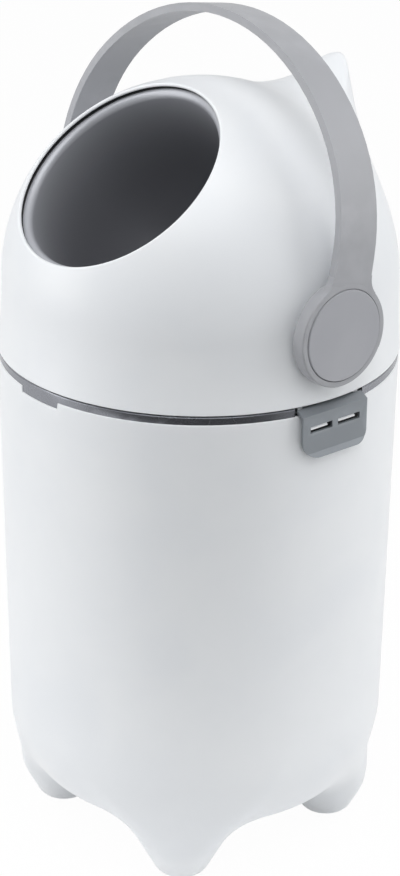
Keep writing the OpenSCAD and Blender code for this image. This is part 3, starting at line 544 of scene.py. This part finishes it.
# %% Sizes of the dome
DOME_R, BACK_SWELL = RIM_R - 3.4, 2.8   # the ball swells a little toward the back
HUB_RISE = HUB_Z - SEAM_Z
MOUTH_R, MOUTH_LIP = 76.0, 1.5
FIN_BACK, FIN_LEAN, FIN_CURVE = 139.3, np.radians(1.5), 3.1  # back edge: place, lean and hollow
FIN_RISE, FIN_FRONT, FIN_POWER = 58.0, 72.9, 3.4  # front slope: height, start, steepness
FIN_FULL = 47.0               # degrees above the hub where the front slope has that height
FIN_SPREAD, ROOT_SPREAD, TOP_SPREAD = 9.8, 11.3, 9.0  # sideways reach in degrees, and what root and top add
FIN_FADE = 1.67               # how squarely the fin's flanks fall off: 2 is a bell, less is more pointed
SMOOTH = 4.0                  # how softly the front slope and the back edge meet
LEAF_HALF_W, LEAF_RISE = 14.0, 6.8     # notch in the skirt for the hinge leaf
tilt = np.radians(39.1)
hub = np.array([0, 0, HUB_Z])
mouth_axis = np.array([0, -np.sin(tilt), np.cos(tilt)])
mouth_x, mouth_y = np.array([1.0, 0, 0]), np.array([0, np.cos(tilt), np.sin(tilt)])


def in_mouth_frame(rho, height, turn):
    """Points at a distance from the mouth's axis, a height along it and a turn round it."""
    rho, height, turn = np.broadcast_arrays(rho, height, turn)
    ring = np.cos(turn)[..., None] * mouth_x + np.sin(turn)[..., None] * mouth_y
    return hub + height[..., None] * mouth_axis + rho[..., None] * ring


# %% Ball and fin
def ball_radius(way):
    """Radius of the ball in a direction: round, with a swell that grows toward the back."""
    return DOME_R + BACK_SWELL * np.maximum(way[..., 1], 0)


def fin_height(way):
    """Height over the ball: a front slope cut by an upright back edge, fading sideways, wider at its root."""
    e = np.arctan2(way[..., 2], way[..., 1])
    a = np.degrees(np.arcsin(np.clip(way[..., 0], -1, 1)))
    degrees = np.degrees(e)
    front = FIN_RISE * (np.clip(FIN_FRONT - degrees, 0, 200) / (FIN_FRONT - FIN_FULL)) ** FIN_POWER
    hollow = FIN_CURVE * np.clip(FIN_BACK * np.tan(np.clip(e, 0, 1.15)) / 120, 0, 1.4) ** 2
    reach = np.maximum(np.cos(e) + np.tan(FIN_LEAN) * np.sin(e), 0.2)
    upright = (FIN_BACK - hollow) / reach - DOME_R - BACK_SWELL * np.maximum(np.cos(e), 0)
    crest = np.maximum(-SMOOTH * np.logaddexp(-front / SMOOTH, -upright / SMOOTH), 0)
    crest = np.where((degrees > -8) & (degrees < FIN_FRONT + 5), crest, 0)
    root, top = np.clip((50 - degrees) / 30, 0, 1.5), np.clip((degrees - 52) / 16, 0, 1)
    spread = FIN_SPREAD + ROOT_SPREAD * root + TOP_SPREAD * top
    height = crest * np.exp(-(np.hypot(a, 2.5) / spread) ** FIN_FADE)
    return round_max(height - 0.6, 0 * height, 0.6)


# %% The dome's skin
def dome_columns():
    """Angles round the dome, three times as dense at the fin as at the front."""
    even = np.linspace(0, 2 * np.pi, 300, endpoint=False)
    return with_corners((even + 0.5 * np.cos(even)) % (2 * np.pi), np.pi, LEAF_HALF_W)


def dome_sheet(turn, start_angle, inset, rows):
    """Great-circle arcs from the mouth to the seam: ball above the handle's axis, flared skirt below."""
    end_e = -np.arctan2(HUB_RISE, RIM_R)
    start = (in_mouth_frame(np.sin(start_angle), np.cos(start_angle), turn) - hub)[None]
    flat = np.cos(end_e)
    end = np.stack([flat * np.cos(turn), flat * np.sin(turn), 0 * turn + np.sin(end_e)], -1)[None]
    arc = np.arccos(np.clip((start * end).sum(-1, keepdims=True), -1, 1))
    s = np.linspace(0, 1, rows)[:, None, None]
    way = (np.sin((1 - s) * arc) * start + np.sin(s * arc) * end) / np.sin(arc)
    radius = ball_radius(way) - inset + (fin_height(way) if inset == 0 else 0)
    ball = hub + radius[..., None] * way
    leaf_edge = np.arcsin(LEAF_HALF_W / RIM_R)
    notch = LEAF_RISE * np.clip((leaf_edge + 0.002 - np.abs(turn - np.pi)) / 0.004, 0, 1)
    below = np.clip(np.arcsin(way[..., 2]) / end_e, 0, 1)
    edge = notch + 0.8
    h = HUB_RISE + (edge - HUB_RISE) * below
    level = np.hypot(way[..., 0], way[..., 1])
    waist = DOME_R + BACK_SWELL * np.maximum(way[..., 1] / level, 0)
    r = waist - inset + (RIM_R + 0.4 - waist) * (1 - h / HUB_RISE) ** 2
    skirt = np.stack([r * way[..., 0] / level, r * way[..., 1] / level, SEAM_Z + h], -1)
    return np.where((way[..., 2] < 0)[..., None], skirt, ball)


def dome_skin():
    """Outer sheet, rounded seam edge, inner sheet and rounded mouth edge, joined into one closed wall."""
    turn = dome_columns()
    lip_r = MOUTH_R + MOUTH_LIP
    lip_h = np.sqrt((DOME_R - MOUTH_LIP) ** 2 - lip_r ** 2)
    touch = np.arctan2(lip_r, lip_h)
    outer = dome_sheet(turn, touch, 0, 150)
    inner = dome_sheet(turn, touch, WALL, 90)[::-1]
    low_out, low_in = outer[-1], inner[0]
    swing = np.radians(np.linspace(0, 180, 9))[1:-1, None, None]
    middle, half_wall = (low_out + low_in) / 2, (low_out - low_in) / 2
    edge = middle + np.cos(swing) * half_wall - np.array([0, 0, 0.8]) * np.sin(swing)
    round_lip = np.linspace(np.pi, np.pi / 2 - touch, 9)[:-1, None]
    lip_rho, lip_z = lip_r + MOUTH_LIP * np.cos(round_lip), lip_h + MOUTH_LIP * np.sin(round_lip)
    lip = in_mouth_frame(lip_rho, lip_z, turn[None])
    grid = np.concatenate([outer, edge, inner, lip])
    return closed_skin("dome_moulding", grid, wrap_rows=True)


dome = wear(dome_skin(), "head", ["head_shell"])

# %% [markdown]
# ## Bowl
#
# The bowl that the nappy is dropped into is turned on the mouth's own axis: a deep cup whose rim rolls
# over onto the ball of the drum. Its profile is a quarter of a superellipse, a round lip and a flange.

# %% The bowl's profile and skin
DRUM_R = RIM_R - 7.1          # the drum's ball, behind the dome's
BOWL_R, BOWL_LIP = 71.5, 5.0
BOWL_DEPTH, BOWL_POWER = 122.0, 2.2  # from the lip's line to the bottom; 2 is an ellipse, more is fuller


def bowl_wall(radius, bottom, top, n):
    """Quarter superellipse from the bottom of the bowl up to its straight wall."""
    s = np.linspace(0, np.pi / 2, n)[1:]
    return radius * np.sin(s) ** (2 / BOWL_POWER), top - (top - bottom) * np.cos(s) ** (2 / BOWL_POWER)


def bowl_skin():
    """Cup, rolled lip, flange under the dome's mouth and outer wall, turned on the mouth's axis."""
    lip_r = BOWL_R + BOWL_LIP
    lip_h = np.sqrt((DRUM_R - BOWL_LIP) ** 2 - lip_r ** 2)
    lip_end = np.arctan2(lip_h, lip_r)
    bottom = np.sqrt(DRUM_R ** 2 - lip_r ** 2) - BOWL_DEPTH
    inside = bowl_wall(BOWL_R, bottom, lip_h, 70)
    roll_over = np.linspace(np.pi, lip_end, 20)[1:]
    lip = lip_r + BOWL_LIP * np.cos(roll_over), lip_h + BOWL_LIP * np.sin(roll_over)
    rim_r = DRUM_R * np.cos(lip_end) + 0.5
    flange_r = np.array([rim_r, rim_r, rim_r + 6, rim_r + 6, BOWL_R + WALL + 4])
    ball = DRUM_R - np.array([0, WALL, WALL, WALL + 2, WALL + 3])
    flange = flange_r, np.sqrt(ball ** 2 - flange_r ** 2)
    outside = bowl_wall(BOWL_R + WALL, bottom - WALL, lip_h - 2, 40)
    rho = np.concatenate([inside[0], lip[0], flange[0], outside[0][::-1]])
    height = np.concatenate([inside[1], lip[1], flange[1], outside[1][::-1]])
    turn = np.linspace(0, 2 * np.pi, 180, endpoint=False)
    grid = in_mouth_frame(rho[:, None], height[:, None], turn[None])
    poles = [hub + bottom * mouth_axis, hub + (bottom - WALL) * mouth_axis]
    piece = closed_skin("bowl_moulding", grid, poles=poles)
    piece.data.set_sharp_from_angle(angle=np.radians(40))
    return piece


bowl = wear(bowl_skin(), "drum", ["bowl"])

# %% [markdown]
# ## Handle, ring, latch and the other small mouldings
#
# These solids already have the right form, but a machine-sharp edge looks like a drawing and not like
# plastic. Each gets a copy whose loose triangles are merged, whose flat faces are joined, and whose
# sharp edges a bevel rounds by the radius that such a moulding has.

# %% Copy a solid with soft edges
MERGE = 0.01                  # points closer than this are one
FLAT_ANGLE = 0.6              # faces that differ by fewer degrees are one flat face


def soft_copy(node, name, width, body, segments=3, angle=30):
    """A merged copy of a node's mesh with bevelled edges, which stands for the node."""
    bm = bmesh.new()
    bm.from_mesh(nodes[node].data)
    bm.transform(nodes[node].matrix_world)
    bmesh.ops.remove_doubles(bm, verts=bm.verts, dist=MERGE * MM)
    bmesh.ops.dissolve_degenerate(bm, edges=bm.edges, dist=MERGE / 2 * MM)
    bmesh.ops.dissolve_limit(bm, angle_limit=np.radians(FLAT_ANGLE), verts=bm.verts, edges=bm.edges)
    mesh = bpy.data.meshes.new(name)
    bm.to_mesh(mesh)
    bm.free()
    mesh.shade_smooth()
    piece = bpy.data.objects.new(name, mesh)
    bpy.context.collection.objects.link(piece)
    if width:
        soften(piece, width, segments, angle)
    else:
        mesh.set_sharp_from_angle(angle=np.radians(angle))
    print(name, len(mesh.vertices), "points")
    return wear(piece, body, [node])


soft = {}
for node, name, width, body_name, slot_name in (
        ("handle", "arched_handle", 1.1, "drum", "handle_grey"),
        ("hub_cap_left", "left_cap", 0.5, "drum", "cap_grey"),
        ("hub_cap_right", "right_cap", 0.5, "drum", "cap_grey"),
        ("bag_ring", "ring_moulding", 0.4, "bin", "grey_plastic"),
        ("latch", "latch_plate", 0.8, "latch", "latch_grey"),
        ("hinge_bracket", "rear_bracket", 0.5, "bin", "latch_grey"),
        ("hinge_leaf", "rear_leaf", 0.35, "head", "latch_grey"),
        ("drum_front", "drum_front_shell", 0, "drum", "drum_grey"),
        ("drum_rear", "drum_rear_shell", 0, "drum", "drum_grey"),
        ("head_deck", "deck_plate", 0.3, "head", "white_inner"),
):
    soft[node] = soft_copy(node, name, width, body_name)

# %% [markdown]
# ### The latch's lower end
#
# The pressed plate of the latch ends in a shorter, rounder tongue than its solid. The copy is cut into
# level strips below its slots, so that its outline has points to move. Each point is then drawn up and
# moved sideways by the ratio of the wanted half width to the old one at its height.

# %% Round the latch's tongue
LATCH_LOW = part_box("latch")[0].z / MM
LATCH_HALF, OLD_CORNER = 28.5, 10.0  # half the plate's width, and the round of its solid's lower corners
FRONT_CORNER, BACK_CORNER = 15.0, 9.0  # the rounds that they get
SHORTER = 4.0
TONGUE_TOP = SEAM_Z - 20.0


def half_width(z, low, corner):
    """Half width of a plate with round lower corners, at a height above its lower edge."""
    into = np.clip(low + corner - z, 0, corner)
    return LATCH_HALF - corner + np.sqrt(corner ** 2 - into ** 2)


def round_tongue(piece):
    """Cuts the plate into level strips, then shortens and rounds what lies below its slots."""
    bm = bmesh.new()
    bm.from_mesh(piece.data)
    for level in np.linspace(LATCH_LOW + 0.6, TONGUE_TOP - 1, 16):
        bmesh.ops.bisect_plane(bm, geom=bm.verts[:] + bm.edges[:] + bm.faces[:],
                               plane_co=(0, 0, level * MM), plane_no=(0, 0, 1))
    bm.to_mesh(piece.data)
    bm.free()
    xyz = np.empty(3 * len(piece.data.vertices), np.float32)
    piece.data.vertices.foreach_get("co", xyz)
    x, y, z = xyz.astype(float).reshape(-1, 3).T / MM
    low = z < TONGUE_TOP
    shrink = 1 - SHORTER / (TONGUE_TOP - LATCH_LOW)
    new_z = np.where(low, TONGUE_TOP - (TONGUE_TOP - z) * shrink, z)
    corner = np.where(y < 0, FRONT_CORNER, BACK_CORNER)
    ratio = half_width(new_z, LATCH_LOW + SHORTER, corner) / half_width(z, LATCH_LOW, OLD_CORNER)
    y = np.where(low, y * ratio, y)
    piece.data.vertices.foreach_set("co", (np.stack([x, y, new_z], 1) * MM).ravel())
    piece.data.update()
    print("latch tongue", int(low.sum()), "points moved")


round_tongue(soft["latch"])

# %% [markdown]
# ## Finishes
#
# No moulding is one flat colour. Its surface carries the fine texture of the tool it was moulded in, the
# tone drifts a little where the plastic flowed and cooled, hands polish it, and raised edges are lighter,
# partly as wear and partly as painted highlight. The bowl is lighter at its rim and darker further in, which
# is painted shade. Each of these effects is a node group, built once, and every material places the groups
# with its own values. Patterns read Object coordinates, so they stay on the piece when it moves.

# %% Colours and groups in short
def srgb(*levels):
    """Turns 0..255 screen values into the linear values that a shader works in."""
    c = np.array(levels, float) / 255
    return tuple(np.where(c <= 0.04045, c / 12.92, ((c + 0.055) / 1.055) ** 2.4).tolist()) + (1.0,)


def mixed(tree, share, first, second):
    """Two colours mixed by a share from 0 to 1."""
    n = add(tree, "Mix", {0: share, 6: first, 7: second}, data_type="RGBA")
    return n.outputs[2]


def effect(name, inputs, outputs):
    """An empty group: inputs and outputs are names with their kinds and, for inputs, first values."""
    tree = bpy.data.node_groups.new(name, "ShaderNodeTree")
    for key, (kind, value) in inputs.items():
        socket = tree.interface.new_socket(key, in_out="INPUT", socket_type="NodeSocket" + kind)
        if value is not None:
            socket.default_value = value
    for key, kind in outputs.items():
        tree.interface.new_socket(key, in_out="OUTPUT", socket_type="NodeSocket" + kind)
    return tree, tree.nodes.new("NodeGroupInput").outputs, tree.nodes.new("NodeGroupOutput").inputs


def use(tree, group, values):
    """Places a group in a material with its own values."""
    n = tree.nodes.new("ShaderNodeGroup")
    n.node_tree = group
    for key, value in values.items():
        if isinstance(value, bpy.types.NodeSocket):
            tree.links.new(value, n.inputs[key])
        else:
            n.inputs[key].default_value = value
    return n.outputs


# %% Moulded grain
# Two noises, one per grain and one three times as coarse, are added. Together they look like the pebbled
# texture of a spark-eroded mould.
grain, g_in, g_out = effect("moulded_grain", {"Place": ("Vector", None), "Grains per metre": ("Float", 900.0)},
                            {"Height": "Float"})
coarse_scale = add(grain, "Math", {0: g_in["Grains per metre"], 1: 0.33}, operation="MULTIPLY")
fine = add(grain, "TexNoise", {"Vector": g_in["Place"], "Scale": g_in["Grains per metre"], "Detail": 1.0})
coarse = add(grain, "TexNoise", {"Vector": g_in["Place"], "Scale": coarse_scale.outputs[0], "Detail": 2.0})
height = add(grain, "Math", {0: coarse.outputs["Fac"], 1: 0.6, 2: fine.outputs["Fac"]},
             operation="MULTIPLY_ADD")
grain.links.new(height.outputs[0], g_out["Height"])

# %% Drift of tone
# A slow noise, eased at both ends, mixes the colour toward its shade. The same mask is put out for roughness.
drift, d_in, d_out = effect(
    "tone_drift",
    {"Place": ("Vector", None), "Color": ("Color", (1, 1, 1, 1)), "Shade": ("Color", (0, 0, 0, 1)),
     "Patches per metre": ("Float", 12.0), "Amount": ("Float", 0.5)},
    {"Color": "Color", "Mask": "Float"})
cloud = add(drift, "TexNoise", {"Vector": d_in["Place"], "Scale": d_in["Patches per metre"], "Detail": 3.0,
                                "Distortion": 0.4})
eased = add(drift, "MapRange", {"Value": cloud.outputs["Fac"], "From Min": 0.3, "From Max": 0.7},
            interpolation_type="SMOOTHSTEP")
amount = add(drift, "Math", {0: eased.outputs["Result"], 1: d_in["Amount"]}, operation="MULTIPLY")
drift.links.new(mixed(drift, amount.outputs[0], d_in["Color"], d_in["Shade"]), d_out["Color"])
drift.links.new(eased.outputs["Result"], d_out["Mask"])

# %% Handling marks
# Hairlines follow the middle level of a bent noise; a second noise breaks them up into short strokes.
marks, m_in, m_out = effect("handling_marks", {"Place": ("Vector", None), "Lines per metre": ("Float", 40.0)},
                            {"Mask": "Float"})
bent = add(marks, "TexNoise", {"Vector": m_in["Place"], "Scale": m_in["Lines per metre"], "Detail": 2.0,
                               "Distortion": 1.5})
from_middle = add(marks, "Math", {0: bent.outputs["Fac"], 1: 0.5}, operation="SUBTRACT")
apart = add(marks, "Math", {0: from_middle.outputs[0]}, operation="ABSOLUTE")
line = add(marks, "MapRange", {"Value": apart.outputs[0], "From Max": 0.014, "To Min": 1.0, "To Max": 0.0})
stroke = add(marks, "TexNoise", {"Vector": m_in["Place"], "Scale": 23.0, "Detail": 1.0})
broken = add(marks, "MapRange", {"Value": stroke.outputs["Fac"], "From Min": 0.5, "From Max": 0.62})
strokes = add(marks, "Math", {0: line.outputs["Result"], 1: broken.outputs["Result"]}, operation="MULTIPLY")
marks.links.new(strokes.outputs[0], m_out["Mask"])

# %% Edge wear and painted highlight
# Pointiness is above one half where the surface bulges; edges there are made lighter, partly as wear and
# partly as painted highlight. A noise makes the worn line come and go along it.
edges, e_in, e_out = effect("edge_wear_and_highlight", {"Place": ("Vector", None), "Pointiness": ("Float", 0.5),
                                          "Threshold": ("Float", 0.53)}, {"Mask": "Float"})
upper = add(edges, "Math", {0: e_in["Threshold"], 1: 0.06}, operation="ADD")
raised = add(edges, "MapRange", {"Value": e_in["Pointiness"], "From Min": e_in["Threshold"],
                                 "From Max": upper.outputs[0]})
along = add(edges, "TexNoise", {"Vector": e_in["Place"], "Scale": 60.0, "Detail": 3.0})
patchy = add(edges, "MapRange", {"Value": along.outputs["Fac"], "From Min": 0.35, "From Max": 0.65})
worn_and_lit = add(edges, "Math", {0: raised.outputs["Result"], 1: patchy.outputs["Result"]}, operation="MULTIPLY")
edges.links.new(worn_and_lit.outputs[0], e_out["Mask"])

# %% Floor dust
# Dust gathers low down: the mask falls from one at the floor to nothing at the given height, through a noise.
dust, u_in, u_out = effect("floor_dust", {"Place": ("Vector", None), "Reach": ("Float", 0.02)},
                           {"Mask": "Float"})
split = add(dust, "SeparateXYZ", {"Vector": u_in["Place"]})
low = add(dust, "MapRange", {"Value": split.outputs["Z"], "From Max": u_in["Reach"], "To Min": 1.0,
                             "To Max": 0.0})
specks = add(dust, "TexNoise", {"Vector": u_in["Place"], "Scale": 220.0, "Detail": 4.0})
settled = add(dust, "MapRange", {"Value": specks.outputs["Fac"], "From Min": 0.42, "From Max": 0.66})
dusty = add(dust, "Math", {0: low.outputs["Result"], 1: settled.outputs["Result"]}, operation="MULTIPLY")
dust.links.new(dusty.outputs[0], u_out["Mask"])

# %% Painted shade in the bowl
# The height along the mouth's axis becomes a mask of painted shade: nothing at the rim, one low in the
# bowl, quick at first.
RIM_HEIGHT, DEEP_HEIGHT = 108.0, 30.0  # above the hub, where the mask starts and where it is full
FALL_POWER = 2.5
depth, p_in, p_out = effect("bowl_depth", {"Place": ("Vector", None)}, {"Mask": "Float"})
axis = tuple(mouth_axis.tolist())
along_axis = add(depth, "VectorMath", {0: p_in["Place"], 1: axis}, operation="DOT_PRODUCT").outputs["Value"]
hub_height = float(hub @ mouth_axis)
shallow = add(depth, "MapRange", {"Value": along_axis, "From Min": (hub_height + DEEP_HEIGHT) * MM,
                                  "From Max": (hub_height + RIM_HEIGHT) * MM})
power = add(depth, "Math", {0: shallow.outputs["Result"], 1: FALL_POWER}, operation="POWER")
painted_shade_below_rim = add(depth, "Math", {0: 1.0, 1: power.outputs[0]}, operation="SUBTRACT")
depth.links.new(painted_shade_below_rim.outputs[0], p_out["Mask"])

# %% [markdown]
# ### One recipe for the plastics
#
# All the mouldings share one chain: drifting tone, edges lighter as wear and as painted highlight, dust at
# the feet, painted shade inside the bowl, roughness that the drift and the handling marks vary, and grain
# as bump. What tells a white satin shell from a silver lacquered ring is only the values, so they stand side
# by side in a table.

# %% Steps that every finish shares
# an edge is lighter partly from wear and partly as painted highlight
WEAR_AND_HIGHLIGHT_GAIN, WEAR_AND_HIGHLIGHT_LIFT = 1.25, 0.02  # a worn edge is this much brighter than its colour
ROUGH_SWING, STROKE_ROUGH = 0.03, 0.08  # what the drift and a handling mark do to the roughness
DUST = srgb(150, 147, 141)


def start_finish(name, metallic):
    """A new material, its tree and shader, where the patterns are, and the mask of its lighter edges: wear and
    painted highlight.
    """
    mat = bpy.data.materials.new(name)
    mat.use_nodes = True
    tree = mat.node_tree
    shader = tree.nodes["Principled BSDF"]
    shader.inputs["Metallic"].default_value = metallic
    place = add(tree, "TexCoord").outputs["Object"]
    point = add(tree, "NewGeometry").outputs["Pointiness"]
    worn_and_lit = use(tree, edges, {"Place": place, "Pointiness": point})["Mask"]
    return mat, tree, shader, place, worn_and_lit


def part_of(tree, mask, amount):
    """A mask times an amount."""
    return add(tree, "Math", {0: mask, 1: amount}, operation="MULTIPLY").outputs[0]


def add_grain(tree, shader, place, per_metre, grain_depth):
    """The moulded grain as the shader's bump, its depth in millimetres."""
    bumps = use(tree, grain, {"Place": place, "Grains per metre": per_metre})["Height"]
    bump = add(tree, "Bump", {"Height": bumps, "Strength": 1.0, "Distance": grain_depth * MM})
    tree.links.new(bump.outputs["Normal"], shader.inputs["Normal"])


# %% A moulded finish
def moulding(name, color, shade, rough, per_metre, grain_depth, drift_amount, edge_amount, dust_amount=0.0,
             metallic=0.0, deep=None):
    """A plastic whose constants sit on the shader; the last colour, if given, is painted shade inside the bowl.
    """
    mat, tree, shader, place, worn_and_lit = start_finish(name, metallic)
    color, shade = srgb(*color), srgb(*shade)
    tone = use(tree, drift, {"Place": place, "Color": color, "Shade": shade, "Amount": drift_amount})
    # edges lighter: partly wear, partly painted highlight
    light = tuple(min(1.0, WEAR_AND_HIGHLIGHT_GAIN * c + WEAR_AND_HIGHLIGHT_LIFT) for c in color[:3]) + (1.0,)
    base = mixed(tree, part_of(tree, worn_and_lit, edge_amount), tone["Color"], light)
    if dust_amount:
        base = mixed(tree, part_of(tree, use(tree, dust, {"Place": place})["Mask"], dust_amount), base, DUST)
    # painted shade: the bowl turns toward this darker colour below its rim
    if deep:
        base = mixed(tree, use(tree, depth, {"Place": place})["Mask"], base, srgb(*deep))
    tree.links.new(base, shader.inputs["Base Color"])
    drifting = add(tree, "MapRange", {"Value": tone["Mask"], "To Min": rough - ROUGH_SWING,
                                      "To Max": rough + ROUGH_SWING}).outputs["Result"]
    stroke = use(tree, marks, {"Place": place})["Mask"]
    roughness = add(tree, "Math", {0: stroke, 1: STROKE_ROUGH, 2: drifting}, operation="MULTIPLY_ADD")
    tree.links.new(roughness.outputs[0], shader.inputs["Roughness"])
    add_grain(tree, shader, place, per_metre, grain_depth)
    return mat


# %% The plastics and rubbers
finish = {}
for name, *values, more in (
        # name, colour, shade, roughness, grains per metre, their depth, drift, edge wear and painted highlight,
        # the rest
        ("white_satin", (238, 240, 242), (230, 233, 237), 0.36, 1100.0, 0.010, 0.5, 0.25, {"dust_amount": 0.1}),
        ("white_inside", (228, 230, 232), (216, 219, 223), 0.48, 800.0, 0.020, 0.6, 0.2, {}),
        ("handle_grey", (159, 160, 164), (166, 167, 172), 0.42, 900.0, 0.022, 0.6, 0.35, {}),
        ("cap_grey", (170, 171, 176), (161, 162, 168), 0.5, 1300.0, 0.025, 0.6, 0.3, {}),
        ("ring_silver", (142, 144, 150), (132, 134, 141), 0.24, 700.0, 0.002, 0.4, 0.3, {"metallic": 0.8}),
        ("latch_grey", (134, 139, 144), (123, 128, 134), 0.36, 900.0, 0.014, 0.6, 0.5, {"metallic": 0.35}),
        # the bowl's second colour is painted shade, darker inside than at the rim
        ("bowl_satin", (188, 190, 196), (180, 182, 188), 0.36, 800.0, 0.006, 0.5, 0.3,
         {"metallic": 0.2, "deep": (98, 99, 104)}),
        ("drum_satin", (118, 119, 125), (109, 110, 116), 0.38, 800.0, 0.008, 0.5, 0.3, {"metallic": 0.2}),
        ("bush_black", (48, 48, 51), (38, 38, 41), 0.45, 900.0, 0.012, 0.6, 0.3, {}),
        ("seal_rubber", (44, 44, 46), (34, 34, 36), 0.72, 500.0, 0.040, 0.7, 0.15, {}),
        ("foot_rubber", (150, 150, 153), (132, 132, 136), 0.78, 450.0, 0.050, 0.7, 0.2, {"dust_amount": 0.5}),
):
    finish[name] = moulding(name, *values, **more)
print(len(finish), "moulded finishes")

# %% [markdown]
# ### Zinc-plated steel
#
# The screws and pins are turned, so their finish has fine rings, and the plating's colour drifts between
# blue and straw. They are small, but the hinge and the deck show them when the head is open.

# %% Zinc-plated steel
ZINC, STRAW, WORN_AND_LIT_ZINC = srgb(188, 190, 193), srgb(176, 174, 166), srgb(214, 216, 219)
TURNED = (1.0, 1.0, 9.0)      # the grain is squeezed along the piece until it looks like turned rings


def zinc_steel():
    """Metal with drifting plating colour, fine turned lines as bump and edges brighter as wear and as painted
    highlight.
    """
    mat, tree, shader, place, worn_and_lit = start_finish("zinc_steel", 1.0)
    tone = use(tree, drift, {"Place": place, "Color": ZINC, "Shade": STRAW, "Patches per metre": 180.0,
                             "Amount": 0.8})
    # edges lighter: partly worn plating, partly painted highlight
    tree.links.new(mixed(tree, worn_and_lit, tone["Color"], WORN_AND_LIT_ZINC), shader.inputs["Base Color"])
    rough = add(tree, "MapRange", {"Value": tone["Mask"], "To Min": 0.26, "To Max": 0.4})
    tree.links.new(rough.outputs["Result"], shader.inputs["Roughness"])
    lines = add(tree, "Mapping", {"Vector": place, "Scale": TURNED}).outputs["Vector"]
    add_grain(tree, shader, lines, 900.0, 0.006)
    return mat


finish["zinc_steel"] = zinc_steel()
print("zinc_steel", len(finish["zinc_steel"].node_tree.nodes), "nodes")

# %% [markdown]
# ### Who wears what
#
# Every solid that stays visible and every new piece gets its finish here, by name.

# %% Dress the pieces
WEARERS = {
    "white_inside": ["head_deck"],
    "ring_silver": ["bag_ring"],
    "handle_grey": ["handle"],
    "cap_grey": ["hub_cap_left", "hub_cap_right"],
    "latch_grey": ["latch", "hinge_bracket", "hinge_leaf"],
    "drum_satin": ["drum_front", "drum_rear", "bowl"],
    "seal_rubber": ["mouth_seal", "drum_seal"],
    "bush_black": ["bush_left", "bush_right", "axle_left", "axle_right"],
    "zinc_steel": ["hinge_pin", "latch_pin", "deck_screws", "leaf_screws", "bracket_screws", "hub_screws"],
    "foot_rubber": [f"foot_pad_{end}_{side}" for end in ("front", "rear") for side in ("left", "right")],
    "white_satin": ["bin_body", "head_shell"],
}
# the strip behind the latch takes the dark rubber finish as painted shadow
NEW_PIECES = ((body, "white_satin"), (dome, "white_satin"), (bowl, "bowl_satin"),
              (noses[0], "white_satin"), (noses[1], "white_satin"), (painted_shade_strip, "seal_rubber"))
for key, names in WEARERS.items():
    for name in names:
        for material_slot in nodes[name].material_slots:
            material_slot.material = finish[key]
        if name in soft:
            soft[name].data.materials.append(finish[key])
for piece, key in NEW_PIECES:
    piece.data.materials.append(finish[key])
dressed = sum(len(names) for names in WEARERS.values())
print(dressed, "of", len(nodes), "solids and", len(NEW_PIECES), "new pieces dressed")

# %% Colour view
scene = bpy.context.scene
scene.view_settings.view_transform = "Standard"
